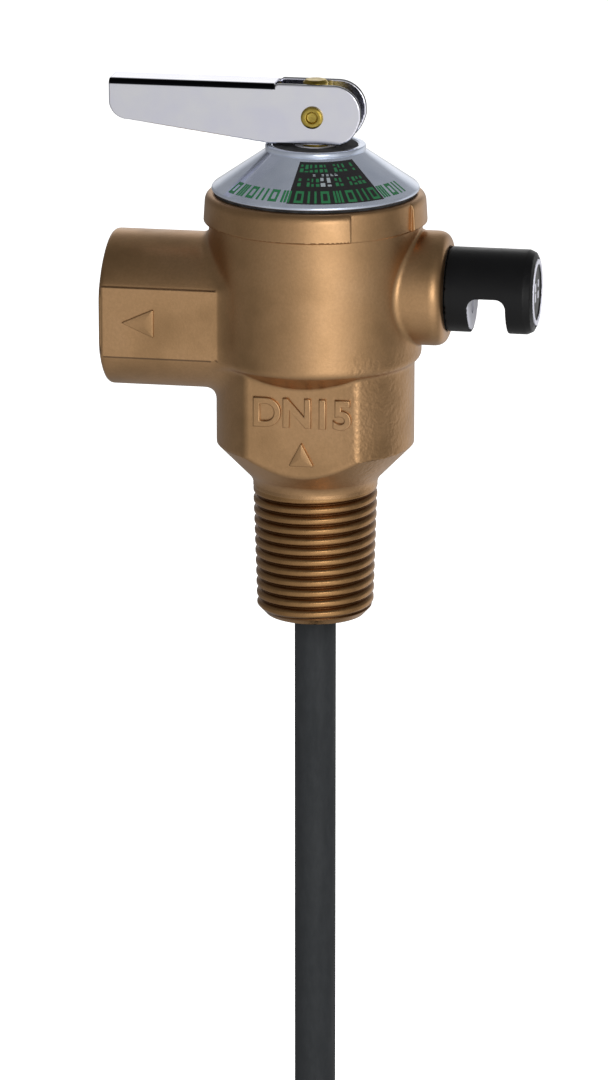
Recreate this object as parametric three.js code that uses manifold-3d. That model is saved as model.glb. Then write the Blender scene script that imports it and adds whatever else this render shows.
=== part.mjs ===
import * as THREE from "three";
import { mergeVertices } from "three/addons/utils/BufferGeometryUtils.js";
import Module from "manifold-3d";

// Temperature and pressure relief valve, 15 mm (1/2 inch) size. Millimetres, +Z up.
// The origin is the lower end of the inlet thread, on the valve's axis. The outlet port points to -X,
// the vent nozzle to +X, and the body's wrench flats face -Y (front) and +Y (back).

// ---- Clearances that tie the pieces together ----
const RUNNING_FIT = 0.05; // radial, a pin that turns in its hole
const SLIDING_FIT = 0.1; // radial, a stem or rod that slides in a guide
const SEAT_GAP = 0.1; // between faces that rest on each other
const ASSEMBLY_GAP = 0.3; // round pieces that are dropped or screwed in

// ---- Valve body: lengths up the axis ----
const THREAD_LENGTH = 21.8;
const NECK_LENGTH = 2.2;
const SHOULDER_HEIGHT = 5.9; // cone between the neck and the lower body
const LOWER_BODY_HEIGHT = 14.2;
const BARREL_HEIGHT = 22.6;
const COLLAR_HEIGHT = 5.0;

// ---- Valve body: radii ----
const THREAD_PITCH = 1.814;
const THREAD_DEPTH = 1.1;
const THREAD_TAPER = 1 / 32; // radius gained per length, a taper of 1 in 16 on diameter
const NECK_R = 10.43;
const INLET_FACE_R = 8.3;
const INLET_BORE_R = 7.2;
const LOWER_BODY_R = 16.57;
const BARREL_R = 17.72;
const COLLAR_STEP = 0.88; // how far the collar stands out of the barrel
const UNDERCUT_SLOPE = 0.71; // rise over run of the barrel's conical underside
const UNDERCUT_R = 12.5;
const BODY_FLAT = 13.63; // axis to each wrench flat of the lower body
const CHAMBER_WALL = 3.9;
const COLLAR_ROUND = 0.6;

// ---- Valve seat ----
const SEAT_R = 6.0;
const SEAT_LAND = 1.6;
const SEAT_RISE = 6.1; // seat face above the foot of the lower body
const SEAT_LIP = 1.5;
const SEAT_WELL_R = 10.8;

// ---- Crimped pocket that holds the cap ----
const CRIMP_THICKNESS = 0.8;
const CRIMP_LIP = 1.1;
const POCKET_WALL = 1.85;
const FLANGE_THICKNESS = 1.0;
const GASKET_THICKNESS = 0.8;

// ---- Collar recess, angles from the front towards +X ----
const RECESS_FROM = THREE.MathUtils.degToRad(28.8);
const RECESS_TO = THREE.MathUtils.degToRad(71.7);
const RECESS_TOP = 0.6; // rim left above the recess

// ---- Outlet port ----
const OUTLET_RISE = 7.5; // port axis above the foot of the barrel
const OUTLET_R = 13.03;
const OUTLET_FLAT = 11.62;
const OUTLET_REACH = 34.5;
const OUTLET_THREAD_R = 9.3;
const OUTLET_THREAD_DEPTH = 14.5;
const OUTLET_PASSAGE_R = 7.3;

// ---- Vent boss and nozzle ----
const VENT_RISE = 12.8; // vent axis above the foot of the barrel
const BOSS_R = 9.55;
const BOSS_REACH = 22.6;
const BOSS_ROUND = 1.6;
const VENT_PASSAGE_R = 2.2;
const VENT_POCKET_DEPTH = 7.4;
const NOZZLE_R = 7.05;
const NOZZLE_LENGTH = 14.7;
const NOZZLE_CHAMFER = 1.5;
const NOZZLE_BORE_R = 3.9;
const NOZZLE_SPIGOT_WALL = 1.7;
const NOTCH_SET = 3.9; // notch's near wall past the boss
const NOTCH_WIDTH = 6.3;
const NOTCH_CORNER = 1.7;
const END_RING_R = 5.1;
const END_RING_WIDTH = 0.8;
const END_RING_DEPTH = 0.4;
const VENT_RING_SECTION = 0.55; // cord radius of the nozzle's O-ring
const POPPET_LENGTH = 4.0;
const POPPET_SEAL = 0.6;
const VENT_SPRING_WIRE = 0.5;
const INSERT_THICKNESS = 0.9;
const INSERT_HOLES = 3;
const INSERT_HOLE_R = 1.2;
const INSERT_HOLE_CIRCLE = 2.9;

// ---- Bonnet cap ----
const CAP_SHEET = 1.2;
const CAP_RIM_R = 17.25;
const CAP_CROWN_R = 8.2;
const CAP_CONE_HEIGHT = 6.45;
const CAP_RIM_HEIGHT = 0.6;
const CAP_LIP_HEIGHT = 0.95;
const CAP_LIP_STEP = 0.2;
const LABEL_THICKNESS = 0.12;
const LABEL_FROM = THREE.MathUtils.degToRad(-7.5);
const LABEL_TO = THREE.MathUtils.degToRad(53);
const LABEL_MARGIN = 0.55;

// ---- Stem, disc and main spring ----
const STEM_R = 2.5;
const STEM_TOP_ABOVE_PIN = 5.8;
const DISC_R = 8.9;
const DISC_THICKNESS = 3.6;
const DISC_HUB_R = 4.6;
const DISC_HUB_HEIGHT = 5.0;
const SEAL_THICKNESS = 2.0;
const SEAL_SHROUD = 0.5;
const SPIGOT_R = 2.0;
const SEAL_WASHER_R = 5.0;
const SEAL_WASHER_THICKNESS = 0.9;
const NUT_ACROSS_FLATS = 6.4;
const NUT_THICKNESS = 1.6;
const SPRING_R = 8.4; // middle of the wire
const SPRING_WIRE = 2.4; // wire diameter
const SPRING_TURNS = 5.5;
const SPRING_SEAT_THICKNESS = 1.4;
const SPRING_HUB_WALL = 2.6;
const SPRING_HUB_HEIGHT = 2.6;
const LOWER_SEAT_RISE = 1.4; // lower spring plate above the port's axis
const CLIP_THICKNESS = 0.7;
const CLIP_R = 4.4;
const BUSH_WALL = 1.3;
const BUSH_FLANGE = 1.6;
const BUSH_FLANGE_THICKNESS = 0.9;
const STEM_RING_SECTION = 0.7; // cord radius of the stem's O-ring
const LIFT_PER_RADIAN = 3.2;
const LEVER_SWING = THREE.MathUtils.degToRad(75);

// ---- Test lever, measured from its pin ----
const PIN_HEIGHT = 4.95; // pin above the cap's lip
const PIN_R = 1.2;
const PIN_HEAD_R = 1.85;
const PIN_HEAD_THICKNESS = 0.5;
const PIN_HOLLOW_R = 0.85;
const PIN_HOLLOW_DEPTH = 0.4;
const LEVER_WIDTH = 6.5;
const LEVER_SHEET = 0.9;
const EAR_GAP = 0.25; // on each side of the stem's head, between the lever's ears
const STEM_HEAD_R = LEVER_WIDTH / 2 - LEVER_SHEET - EAR_GAP;
const LEVER_BEND = 1.1;
const LEVER_REACH = 34.25;
const LEVER_TOP = 5.4;
const LEVER_TIP_LOW = -1.46;
const LEVER_TIP_ROUND = 3.1;
const EAR_REACH = 8.05;
const EAR_DROP = 4.6;
const EAR_TOP_ROUND = 4.6;
const EAR_TOE = 4.7; // straight foot of the ear, ahead of the pin
const EAR_HEEL = 7.1; // and behind it
const WEB_END = 6.4; // the web stops this far behind the pin

// ---- Thermostat probe ----
const PROBE_R = 3.5;
const PROBE_WALL = 0.6;
const PROBE_DROP = 102; // probe tip below the inlet thread
const PROBE_TIP_LENGTH = 6;
const GUIDE_RISE = 24.5; // probe guide's middle above the thread's end
const GUIDE_HEIGHT = 4.2;
const GUIDE_RIM = 0.9;
const GUIDE_HUB_WALL = 1.3;
const GUIDE_ARM = 1.8;
const GUIDE_ARMS = 4;
const GUIDE_RING_GROOVE = 0.5;
const GUIDE_RING_THICKNESS = 0.9;
const PUSH_ROD_R = 1.4;
const CAPSULE_LENGTH = 26;
const CAPSULE_BORE = 9;

const ROUND_SIDES = 32;
const SMALL_SIDES = 16;
const WIRE_SIDES = 3; // per half turn of the section
const DEEP = 60; // cutting tools reach this far past what they cut

const wasm = await Module();
wasm.setup();

// ---- Levels worked out from the lengths above ----
const neckZ = THREAD_LENGTH;
const shoulderZ = neckZ + NECK_LENGTH;
const lowerBodyZ = shoulderZ + SHOULDER_HEIGHT;
const barrelZ = lowerBodyZ + LOWER_BODY_HEIGHT;
const barrelEdgeZ = barrelZ + (BARREL_R - LOWER_BODY_R) * UNDERCUT_SLOPE;
const undercutZ = barrelZ - (LOWER_BODY_R - UNDERCUT_R) * UNDERCUT_SLOPE;
const collarZ = barrelEdgeZ + BARREL_HEIGHT;
const collarTopZ = collarZ + COLLAR_HEIGHT;
const collarR = BARREL_R + COLLAR_STEP;
const chamberR = BARREL_R - CHAMBER_WALL;
const pocketR = collarR - POCKET_WALL;
const lipR = pocketR - CRIMP_LIP + ASSEMBLY_GAP;
const flangeR = pocketR - SEAT_GAP;
const flangeTopZ = collarTopZ - CRIMP_THICKNESS - SEAT_GAP;
const flangeZ = flangeTopZ - FLANGE_THICKNESS;
const gasketZ = flangeZ - SEAT_GAP - GASKET_THICKNESS;
const ledgeZ = gasketZ - SEAT_GAP;
const seatZ = lowerBodyZ + SEAT_RISE;
const seatFloorZ = seatZ - SEAT_LIP;
const outletZ = barrelZ + OUTLET_RISE;
const ventZ = barrelZ + VENT_RISE;

const capRimZ = collarTopZ + SEAT_GAP;
const coneZ = capRimZ + CAP_RIM_HEIGHT;
const crownZ = coneZ + CAP_CONE_HEIGHT;
const lipTopZ = crownZ + CAP_LIP_HEIGHT;
const capTopZ = lipTopZ - CAP_LIP_STEP;
const capUnderZ = capTopZ - CAP_SHEET;
const pinZ = lipTopZ + PIN_HEIGHT;
const lift = LIFT_PER_RADIAN * LEVER_SWING;

// ---- Geometry helpers ----

// A closed mesh as a manifold-3d solid: shared vertices merged, collapsed faces dropped.
function solidOf(geometry) {
  const plain = geometry.index ? geometry.toNonIndexed() : geometry.clone();
  plain.deleteAttribute("normal");
  plain.deleteAttribute("uv");
  const merged = mergeVertices(plain, 1e-4);
  const source = merged.index.array;
  const kept = [];
  for (let i = 0; i < source.length; i += 3) {
    const [a, b, c] = [source[i], source[i + 1], source[i + 2]];
    if (a !== b && b !== c && a !== c) kept.push(a, b, c);
  }
  return new wasm.Manifold(
    new wasm.Mesh({
      numProp: 3,
      vertProperties: merged.attributes.position.array,
      triVerts: new Uint32Array(kept),
    }),
  );
}

// A manifold-3d solid back as a three.js geometry with face normals.
function geometryOf(solid) {
  const mesh = solid.getMesh();
  const geometry = new THREE.BufferGeometry();
  geometry.setAttribute("position", new THREE.BufferAttribute(mesh.vertProperties, 3));
  geometry.setIndex(new THREE.BufferAttribute(mesh.triVerts, 1));
  const faceted = geometry.toNonIndexed();
  faceted.computeVertexNormals();
  return faceted;
}

function signedArea(points) {
  return points.reduce((sum, [x, y], i) => {
    const [nextX, nextY] = points[(i + 1) % points.length];
    return sum + (x * nextY - nextX * y) / 2;
  }, 0);
}

// Turns a closed [radius, height] profile about Z. Points run either way round.
function revolve(profile, sides = ROUND_SIDES) {
  const ordered = signedArea(profile) > 0 ? profile : [...profile].reverse();
  const start = ordered.findIndex(([r], i) => {
    const [before] = ordered[(i + ordered.length - 1) % ordered.length];
    return r === 0 && before === 0;
  });
  const turned = start > 0 ? [...ordered.slice(start), ...ordered.slice(0, start)] : ordered;
  const onAxis = turned[0][0] === 0 && turned[turned.length - 1][0] === 0;
  const points = turned.map(([r, z]) => new THREE.Vector2(r, z));
  if (!onAxis) points.push(points[0].clone());
  return new THREE.LatheGeometry(points, sides).rotateX(Math.PI / 2);
}

// A turned solid with its axis along X, from the axis point (0, 0, z).
function revolveAlongX(profile, z, sides = ROUND_SIDES) {
  return revolve(profile, sides).rotateY(Math.PI / 2).translate(0, 0, z);
}

function ring(innerR, outerR, z, height, sides = ROUND_SIDES) {
  return revolve([[innerR, z], [outerR, z], [outerR, z + height], [innerR, z + height]], sides);
}

function rod(r, z, height, sides = SMALL_SIDES) {
  return revolve([[0, z], [r, z], [r, z + height], [0, z + height]], sides);
}

function torus(r, section, z) {
  return new THREE.TorusGeometry(r, section, 6, ROUND_SIDES).translate(0, 0, z);
}

function box(lowX, lowY, lowZ, highX, highY, highZ) {
  return new THREE.BoxGeometry(highX - lowX, highY - lowY, highZ - lowZ).translate(
    (lowX + highX) / 2,
    (lowY + highY) / 2,
    (lowZ + highZ) / 2,
  );
}

// A flat shape drawn in X and Z, given a thickness along Y about y = middle.
function plate(shape, thickness, middle) {
  const options = { depth: thickness, bevelEnabled: false, curveSegments: 10 };
  const geometry = new THREE.ExtrudeGeometry(shape, options);
  return geometry.rotateX(Math.PI / 2).translate(0, middle + thickness / 2, 0);
}

// The part of a ring between two angles, measured from -Y towards +X.
function ringSector(innerR, outerR, fromAngle, toAngle, z, height) {
  const shape = new THREE.Shape();
  const first = fromAngle - Math.PI / 2;
  const last = toAngle - Math.PI / 2;
  shape.absarc(0, 0, outerR, first, last, false);
  shape.absarc(0, 0, innerR, last, first, true);
  const options = { depth: height, bevelEnabled: false, curveSegments: 10 };
  return new THREE.ExtrudeGeometry(shape, options).translate(0, 0, z);
}

// A coil spring about Z with its wire's centre line between two heights.
class CoilPath extends THREE.Curve {
  constructor(radius, lowZ, highZ, turns) {
    super();
    Object.assign(this, { radius, lowZ, highZ, turns });
  }

  getPoint(t, target = new THREE.Vector3()) {
    const angle = t * this.turns * 2 * Math.PI;
    const height = this.lowZ + t * (this.highZ - this.lowZ);
    return target.set(this.radius * Math.cos(angle), this.radius * Math.sin(angle), height);
  }
}

function coilSpring(radius, wire, lowZ, highZ, turns, stepsPerTurn) {
  const section = new THREE.Shape();
  section.absarc(0, 0, wire / 2, 0, 2 * Math.PI, false);
  const path = new CoilPath(radius, lowZ + wire / 2, highZ - wire / 2, turns);
  return new THREE.ExtrudeGeometry(section, {
    steps: Math.round(turns * stepsPerTurn),
    curveSegments: WIRE_SIDES,
    extrudePath: path,
  });
}

// ---- Finishes ----
const FINISH = {
  castBrass: { color: 0xa98255, roughness: 0.45, metalness: 0.9 },
  turnedBrass: { color: 0xc29a4c, roughness: 0.25, metalness: 1.0 },
  chrome: { color: 0xd9dae2, roughness: 0.12, metalness: 1.0 },
  steel: { color: 0xa7a9ac, roughness: 0.3, metalness: 1.0 },
  blackPlastic: { color: 0x232325, roughness: 0.4, metalness: 0.0 },
  paleNylon: { color: 0xe6e5ea, roughness: 0.45, metalness: 0.0 },
  rubber: { color: 0x1b1b1b, roughness: 0.8, metalness: 0.0 },
  coatedTube: { color: 0x2f3236, roughness: 0.6, metalness: 0.0 },
  labelFilm: { color: 0x232425, roughness: 0.4, metalness: 0.0 },
};

const valve = new THREE.Group();
const stemGroup = new THREE.Group();
const leverGroup = new THREE.Group();
const ventGroup = new THREE.Group();

function place(name, geometry, finish, group = valve) {
  const mesh = new THREE.Mesh(geometry, new THREE.MeshStandardMaterial(FINISH[finish]));
  mesh.name = name;
  group.add(mesh);
  return mesh;
}

// ---- Valve body ----

// Taper thread drawn as rings: each pitch is one root and one crest.
function inletProfile() {
  const startR = NECK_R - THREAD_LENGTH * THREAD_TAPER;
  const points = [[0, 0], [INLET_FACE_R, 0]];
  const pitches = Math.floor((THREAD_LENGTH - THREAD_PITCH / 2) / THREAD_PITCH);
  for (let i = 0; i < pitches; i += 1) {
    const crestZ = (i + 1) * THREAD_PITCH - THREAD_PITCH / 4;
    const crestR = startR + crestZ * THREAD_TAPER;
    points.push([crestR, crestZ]);
    points.push([crestR - THREAD_DEPTH, crestZ + THREAD_PITCH / 2]);
  }
  return points;
}

function lowerBodySolid() {
  const turned = solidOf(
    revolve([
      ...inletProfile(),
      [NECK_R, neckZ],
      [NECK_R, shoulderZ],
      [LOWER_BODY_R, lowerBodyZ],
      [LOWER_BODY_R, barrelZ],
      [0, barrelZ],
    ]),
  );
  const front = solidOf(box(-DEEP, -DEEP, shoulderZ, DEEP, -BODY_FLAT, barrelZ + DEEP));
  const back = solidOf(box(-DEEP, BODY_FLAT, shoulderZ, DEEP, DEEP, barrelZ + DEEP));
  return turned.subtract(front).subtract(back);
}

function barrelSolid() {
  const barrel = solidOf(
    revolve([
      [0, undercutZ],
      [UNDERCUT_R, undercutZ],
      [BARREL_R, barrelEdgeZ],
      [BARREL_R, collarZ],
      [collarR, collarZ + COLLAR_STEP / 2],
      [collarR, collarTopZ - COLLAR_ROUND],
      [collarR - 0.3 * COLLAR_ROUND, collarTopZ - 0.3 * COLLAR_ROUND],
      [collarR - COLLAR_ROUND, collarTopZ],
      [0, collarTopZ],
    ]),
  );
  const recess = ringSector(
    BARREL_R,
    collarR + ASSEMBLY_GAP,
    RECESS_FROM,
    RECESS_TO,
    collarZ - ASSEMBLY_GAP,
    COLLAR_HEIGHT - RECESS_TOP + ASSEMBLY_GAP,
  );
  return barrel.subtract(solidOf(recess));
}

function outletSolid() {
  const reach = OUTLET_REACH;
  const round = solidOf(revolveAlongX([[0, -reach], [OUTLET_R, -reach], [OUTLET_R, 0], [0, 0]], outletZ));
  const flats = solidOf(box(-DEEP, -OUTLET_FLAT, -DEEP, DEEP, OUTLET_FLAT, 3 * DEEP));
  return round.intersect(flats);
}

function bossSolid() {
  const roundSteps = [0, 0.5, 1];
  const edge = roundSteps.map((t) => {
    const angle = (t * Math.PI) / 2;
    const r = BOSS_R - BOSS_ROUND + BOSS_ROUND * Math.cos(angle);
    return [r, BOSS_REACH - BOSS_ROUND + BOSS_ROUND * Math.sin(angle)];
  });
  return solidOf(revolveAlongX([[0, 0], [BOSS_R, 0], ...edge, [0, BOSS_REACH]], ventZ));
}

// Everything that the water and the moving parts run in, from the inlet up to the cap's pocket.
function chamberSolid() {
  const grooveZ = guideRingZ - SEAT_GAP;
  const grooveR = INLET_BORE_R + GUIDE_RING_GROOVE;
  const shelfZ = barrelZ + SEAT_LIP;
  return solidOf(
    revolve([
      [0, -1],
      [INLET_BORE_R, -1],
      [INLET_BORE_R, grooveZ],
      [grooveR, grooveZ],
      [grooveR, grooveZ + GUIDE_RING_THICKNESS + 2 * SEAT_GAP],
      [INLET_BORE_R, grooveZ + GUIDE_RING_THICKNESS + 2 * SEAT_GAP],
      [INLET_BORE_R, guideTopZ + SEAT_GAP],
      [SEAT_R, guideTopZ + SEAT_GAP + (INLET_BORE_R - SEAT_R)],
      [SEAT_R, seatZ],
      [SEAT_R + SEAT_LAND, seatZ],
      [SEAT_R + SEAT_LAND + 0.3, seatFloorZ],
      [SEAT_WELL_R, seatFloorZ],
      [SEAT_WELL_R, shelfZ],
      [chamberR, shelfZ],
      [chamberR, ledgeZ],
      [pocketR, ledgeZ],
      [pocketR, collarTopZ - CRIMP_THICKNESS],
      [lipR, collarTopZ - CRIMP_THICKNESS],
      [lipR, collarTopZ + 1],
      [0, collarTopZ + 1],
    ]),
  );
}

function outletBoreSolid() {
  const mouth = -OUTLET_REACH;
  const threadEnd = mouth + OUTLET_THREAD_DEPTH;
  return solidOf(
    revolveAlongX(
      [
        [0, mouth - 1],
        [OUTLET_THREAD_R + 1.8, mouth - 1],
        [OUTLET_THREAD_R + 0.8, mouth],
        [OUTLET_THREAD_R, mouth + 1],
        [OUTLET_THREAD_R, threadEnd],
        [OUTLET_PASSAGE_R, threadEnd + OUTLET_THREAD_R - OUTLET_PASSAGE_R],
        [OUTLET_PASSAGE_R, 0],
        [0, 0],
      ],
      outletZ,
    ),
  );
}

function ventBoreSolid() {
  const pocketX = BOSS_REACH - VENT_POCKET_DEPTH;
  const sealX = BOSS_REACH - 2 * VENT_RING_SECTION - SEAT_GAP;
  return solidOf(
    revolveAlongX(
      [
        [0, 0],
        [VENT_PASSAGE_R, 0],
        [VENT_PASSAGE_R, pocketX],
        [spigotR + SLIDING_FIT, pocketX],
        [spigotR + SLIDING_FIT, sealX],
        [ventSealR + VENT_RING_SECTION + SEAT_GAP, sealX],
        [ventSealR + VENT_RING_SECTION + SEAT_GAP, BOSS_REACH + 1],
        [0, BOSS_REACH + 1],
      ],
      ventZ,
    ),
  );
}

const guideZ = GUIDE_RISE - GUIDE_HEIGHT / 2;
const guideTopZ = GUIDE_RISE + GUIDE_HEIGHT / 2;
const guideRingZ = guideZ - SEAT_GAP - GUIDE_RING_THICKNESS;
const spigotR = NOZZLE_BORE_R + NOZZLE_SPIGOT_WALL;
const ventSealR = spigotR + SEAT_GAP + VENT_RING_SECTION;

const bodySolid = lowerBodySolid()
  .add(barrelSolid())
  .add(outletSolid())
  .add(bossSolid())
  .subtract(chamberSolid())
  .subtract(outletBoreSolid())
  .subtract(ventBoreSolid());
place("valve_body", geometryOf(bodySolid), "castBrass");

// ---- Bonnet cap and what it holds ----

// Outer radius of the cap's cone at a height.
function coneR(z) {
  return CAP_RIM_R - ((CAP_RIM_R - CAP_CROWN_R) * (z - coneZ)) / CAP_CONE_HEIGHT;
}

const coneSlope = (CAP_RIM_R - CAP_CROWN_R) / CAP_CONE_HEIGHT;
const sheetAcross = CAP_SHEET * Math.hypot(1, coneSlope); // the sheet's width measured level
const neckInsideR = lipR - SEAT_GAP;
const bushR = STEM_HEAD_R + SLIDING_FIT + BUSH_WALL;

place(
  "bonnet_cap",
  revolve([
    [flangeR, flangeZ],
    [flangeR, flangeTopZ],
    [neckInsideR, flangeTopZ],
    [neckInsideR, capRimZ],
    [CAP_RIM_R, capRimZ],
    [CAP_RIM_R, coneZ],
    [CAP_CROWN_R, crownZ],
    [CAP_CROWN_R + 0.15, crownZ + 0.2],
    [CAP_CROWN_R + 0.15, lipTopZ - 0.15],
    [CAP_CROWN_R, lipTopZ],
    [CAP_CROWN_R - 0.8, lipTopZ],
    [CAP_CROWN_R - 1, capTopZ],
    [bushR + SLIDING_FIT, capTopZ],
    [bushR + SLIDING_FIT, capUnderZ],
    [coneR(capUnderZ) - sheetAcross, capUnderZ],
    [coneR(coneZ) - sheetAcross, coneZ],
    [coneR(coneZ) - sheetAcross, flangeZ],
  ]),
  "chrome",
);

place(
  "bonnet_gasket",
  ring(chamberR + SEAT_GAP, pocketR - SEAT_GAP, gasketZ, GASKET_THICKNESS),
  "rubber",
);

// The printed panel lies on the cone: a thin conical shell cut to a sector.
function labelSolid() {
  const lowZ = coneZ + LABEL_MARGIN;
  const highZ = crownZ - LABEL_MARGIN;
  const shell = solidOf(
    revolve([
      [coneR(lowZ) + SEAT_GAP, lowZ],
      [coneR(lowZ) + SEAT_GAP + LABEL_THICKNESS, lowZ],
      [coneR(highZ) + SEAT_GAP + LABEL_THICKNESS, highZ],
      [coneR(highZ) + SEAT_GAP, highZ],
    ]),
  );
  const sector = ringSector(1, CAP_RIM_R + DEEP, LABEL_FROM, LABEL_TO, lowZ - 1, CAP_CONE_HEIGHT + 2);
  return shell.intersect(solidOf(sector));
}

place("cap_label", geometryOf(labelSolid()), "labelFilm");

const bushFlangeZ = capUnderZ - SEAT_GAP - BUSH_FLANGE_THICKNESS;
place(
  "stem_bush",
  revolve(
    [
      [STEM_HEAD_R + SLIDING_FIT, bushFlangeZ],
      [bushR + BUSH_FLANGE, bushFlangeZ],
      [bushR + BUSH_FLANGE, capUnderZ - SEAT_GAP],
      [bushR, capUnderZ - SEAT_GAP],
      [bushR, capTopZ],
      [STEM_HEAD_R + SLIDING_FIT, capTopZ],
    ],
    SMALL_SIDES,
  ),
  "paleNylon",
);

// O-ring between the bush and the upper spring plate.
const stemRingZ = bushFlangeZ - SEAT_GAP - STEM_RING_SECTION;
place("stem_seal", torus(STEM_HEAD_R + SEAT_GAP + STEM_RING_SECTION, STEM_RING_SECTION, stemRingZ), "rubber");

// Upper plate of the main spring: its edge bears on the inside of the cone.
const upperSeatTopZ = stemRingZ - STEM_RING_SECTION - ASSEMBLY_GAP;
const upperSeatZ = upperSeatTopZ - SPRING_SEAT_THICKNESS;
const upperSeatR = coneR(upperSeatTopZ) - sheetAcross - ASSEMBLY_GAP;
const springInsideR = SPRING_R - SPRING_WIRE / 2;
const springHubR = springInsideR - ASSEMBLY_GAP;
place(
  "spring_top_seat",
  revolve([
    [STEM_R + ASSEMBLY_GAP, upperSeatZ - SPRING_HUB_HEIGHT],
    [springHubR, upperSeatZ - SPRING_HUB_HEIGHT],
    [springHubR, upperSeatZ],
    [upperSeatR, upperSeatZ],
    [upperSeatR, upperSeatTopZ],
    [STEM_R + ASSEMBLY_GAP, upperSeatTopZ],
  ]),
  "steel",
);

// ---- Stem, disc and spring: everything here rises together ----
const lowerSeatZ = outletZ + LOWER_SEAT_RISE;
const lowerSeatTopZ = lowerSeatZ + SPRING_SEAT_THICKNESS;
const clipZ = lowerSeatZ - SEAT_GAP - CLIP_THICKNESS;
const sealZ = seatZ + SEAT_GAP;
const discZ = sealZ + SEAL_THICKNESS + SEAT_GAP;
const discTopZ = discZ + DISC_THICKNESS;
const hubTopZ = discTopZ + DISC_HUB_HEIGHT;
const stemFootZ = discTopZ;
const stemTopZ = pinZ + STEM_TOP_ABOVE_PIN;
const stemStepZ = stemRingZ - STEM_RING_SECTION - lift - 2 * ASSEMBLY_GAP;
const clipGrooveR = STEM_R - 0.5;
const washerZ = sealZ - SEAL_WASHER_THICKNESS;
const nutZ = washerZ - SEAT_GAP - NUT_THICKNESS;
const spigotFootZ = nutZ - 0.4;
const sealOuterR = DISC_R - SEAL_SHROUD - SEAT_GAP;

const stemTurned = solidOf(
  revolve(
    [
      [0, stemFootZ],
      [STEM_R, stemFootZ],
      [STEM_R, clipZ - SEAT_GAP],
      [clipGrooveR, clipZ - SEAT_GAP],
      [clipGrooveR, clipZ + CLIP_THICKNESS + SEAT_GAP],
      [STEM_R, clipZ + CLIP_THICKNESS + SEAT_GAP],
      [STEM_R, stemStepZ],
      [STEM_HEAD_R, stemStepZ + Math.abs(STEM_R - STEM_HEAD_R)],
      [STEM_HEAD_R, stemTopZ - 0.4],
      [STEM_HEAD_R - 0.4, stemTopZ],
      [0, stemTopZ],
    ],
    SMALL_SIDES,
  ),
);
const crossHole = rod(PIN_R + RUNNING_FIT, -LEVER_WIDTH, 2 * LEVER_WIDTH)
  .rotateX(Math.PI / 2)
  .translate(0, 0, pinZ);
place("stem", geometryOf(stemTurned.subtract(solidOf(crossHole))), "turnedBrass", stemGroup);

place(
  "valve_disc",
  revolve([
    [0, spigotFootZ],
    [SPIGOT_R, spigotFootZ],
    [SPIGOT_R, discZ],
    [DISC_R - SEAL_SHROUD, discZ],
    [DISC_R - SEAL_SHROUD, discZ - SEAL_THICKNESS / 2],
    [DISC_R, discZ - SEAL_THICKNESS / 2],
    [DISC_R, discTopZ - 0.5],
    [DISC_R - 0.5, discTopZ],
    [DISC_HUB_R, discTopZ],
    [DISC_HUB_R, hubTopZ],
    [STEM_R + SEAT_GAP, hubTopZ],
    [STEM_R + SEAT_GAP, stemFootZ - SEAT_GAP],
    [0, stemFootZ - SEAT_GAP],
  ]),
  "turnedBrass",
  stemGroup,
);
place("disc_seal", ring(SPIGOT_R + SEAT_GAP, sealOuterR, sealZ, SEAL_THICKNESS), "rubber", stemGroup);
place(
  "seal_washer",
  ring(SPIGOT_R + SEAT_GAP, SEAL_WASHER_R, washerZ, SEAL_WASHER_THICKNESS - SEAT_GAP, SMALL_SIDES),
  "steel",
  stemGroup,
);

const nutOuter = rod(NUT_ACROSS_FLATS / Math.sqrt(3), nutZ, NUT_THICKNESS, 6);
const nutHole = rod(SPIGOT_R + SEAT_GAP, nutZ - 1, NUT_THICKNESS + 2);
const nutSolid = solidOf(nutOuter).subtract(solidOf(nutHole));
place("seal_nut", geometryOf(nutSolid), "turnedBrass", stemGroup);

place(
  "spring_bottom_seat",
  revolve([
    [STEM_R + SEAT_GAP, lowerSeatZ],
    [SPRING_R + SPRING_WIRE / 2 + ASSEMBLY_GAP, lowerSeatZ],
    [SPRING_R + SPRING_WIRE / 2 + ASSEMBLY_GAP, lowerSeatTopZ],
    [springHubR, lowerSeatTopZ],
    [springHubR, lowerSeatTopZ + SPRING_HUB_HEIGHT],
    [springHubR - SPRING_HUB_WALL, lowerSeatTopZ + SPRING_HUB_HEIGHT],
    [STEM_R + SEAT_GAP, lowerSeatTopZ],
  ]),
  "steel",
  stemGroup,
);

// E-clip: a ring with a mouth that slides into the stem's groove.
const clipRing = solidOf(ring(clipGrooveR + SEAT_GAP, CLIP_R, clipZ, CLIP_THICKNESS, SMALL_SIDES));
const clipMouth = box(0, -clipGrooveR * 0.8, clipZ - 1, DEEP, clipGrooveR * 0.8, clipZ + CLIP_THICKNESS + 1);
place("spring_clip", geometryOf(clipRing.subtract(solidOf(clipMouth))), "steel", stemGroup);

const mainSpring = coilSpring(
  SPRING_R,
  SPRING_WIRE,
  lowerSeatTopZ + SEAT_GAP,
  upperSeatZ - SEAT_GAP,
  SPRING_TURNS,
  10,
);
place("main_spring", mainSpring, "steel");

// ---- Test lever ----

// Side outline of an ear, in X and Z about the pin. Its foot clears the cap's lip at every angle.
function earShape() {
  const shape = new THREE.Shape();
  const foot = -EAR_DROP;
  shape.moveTo(-WEB_END - 1, LEVER_TOP - LEVER_BEND);
  shape.lineTo(-WEB_END - 1, foot);
  shape.lineTo(EAR_TOE, foot);
  shape.quadraticCurveTo(EAR_REACH - 0.9, foot + 0.9, EAR_REACH, -0.3);
  shape.lineTo(EAR_REACH, LEVER_TOP - EAR_TOP_ROUND);
  shape.absarc(EAR_REACH - EAR_TOP_ROUND, LEVER_TOP - EAR_TOP_ROUND, EAR_TOP_ROUND, 0, Math.PI / 2, false);
  shape.lineTo(-WEB_END + LEVER_BEND / 2, LEVER_TOP);
  shape.closePath();
  return shape;
}

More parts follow.
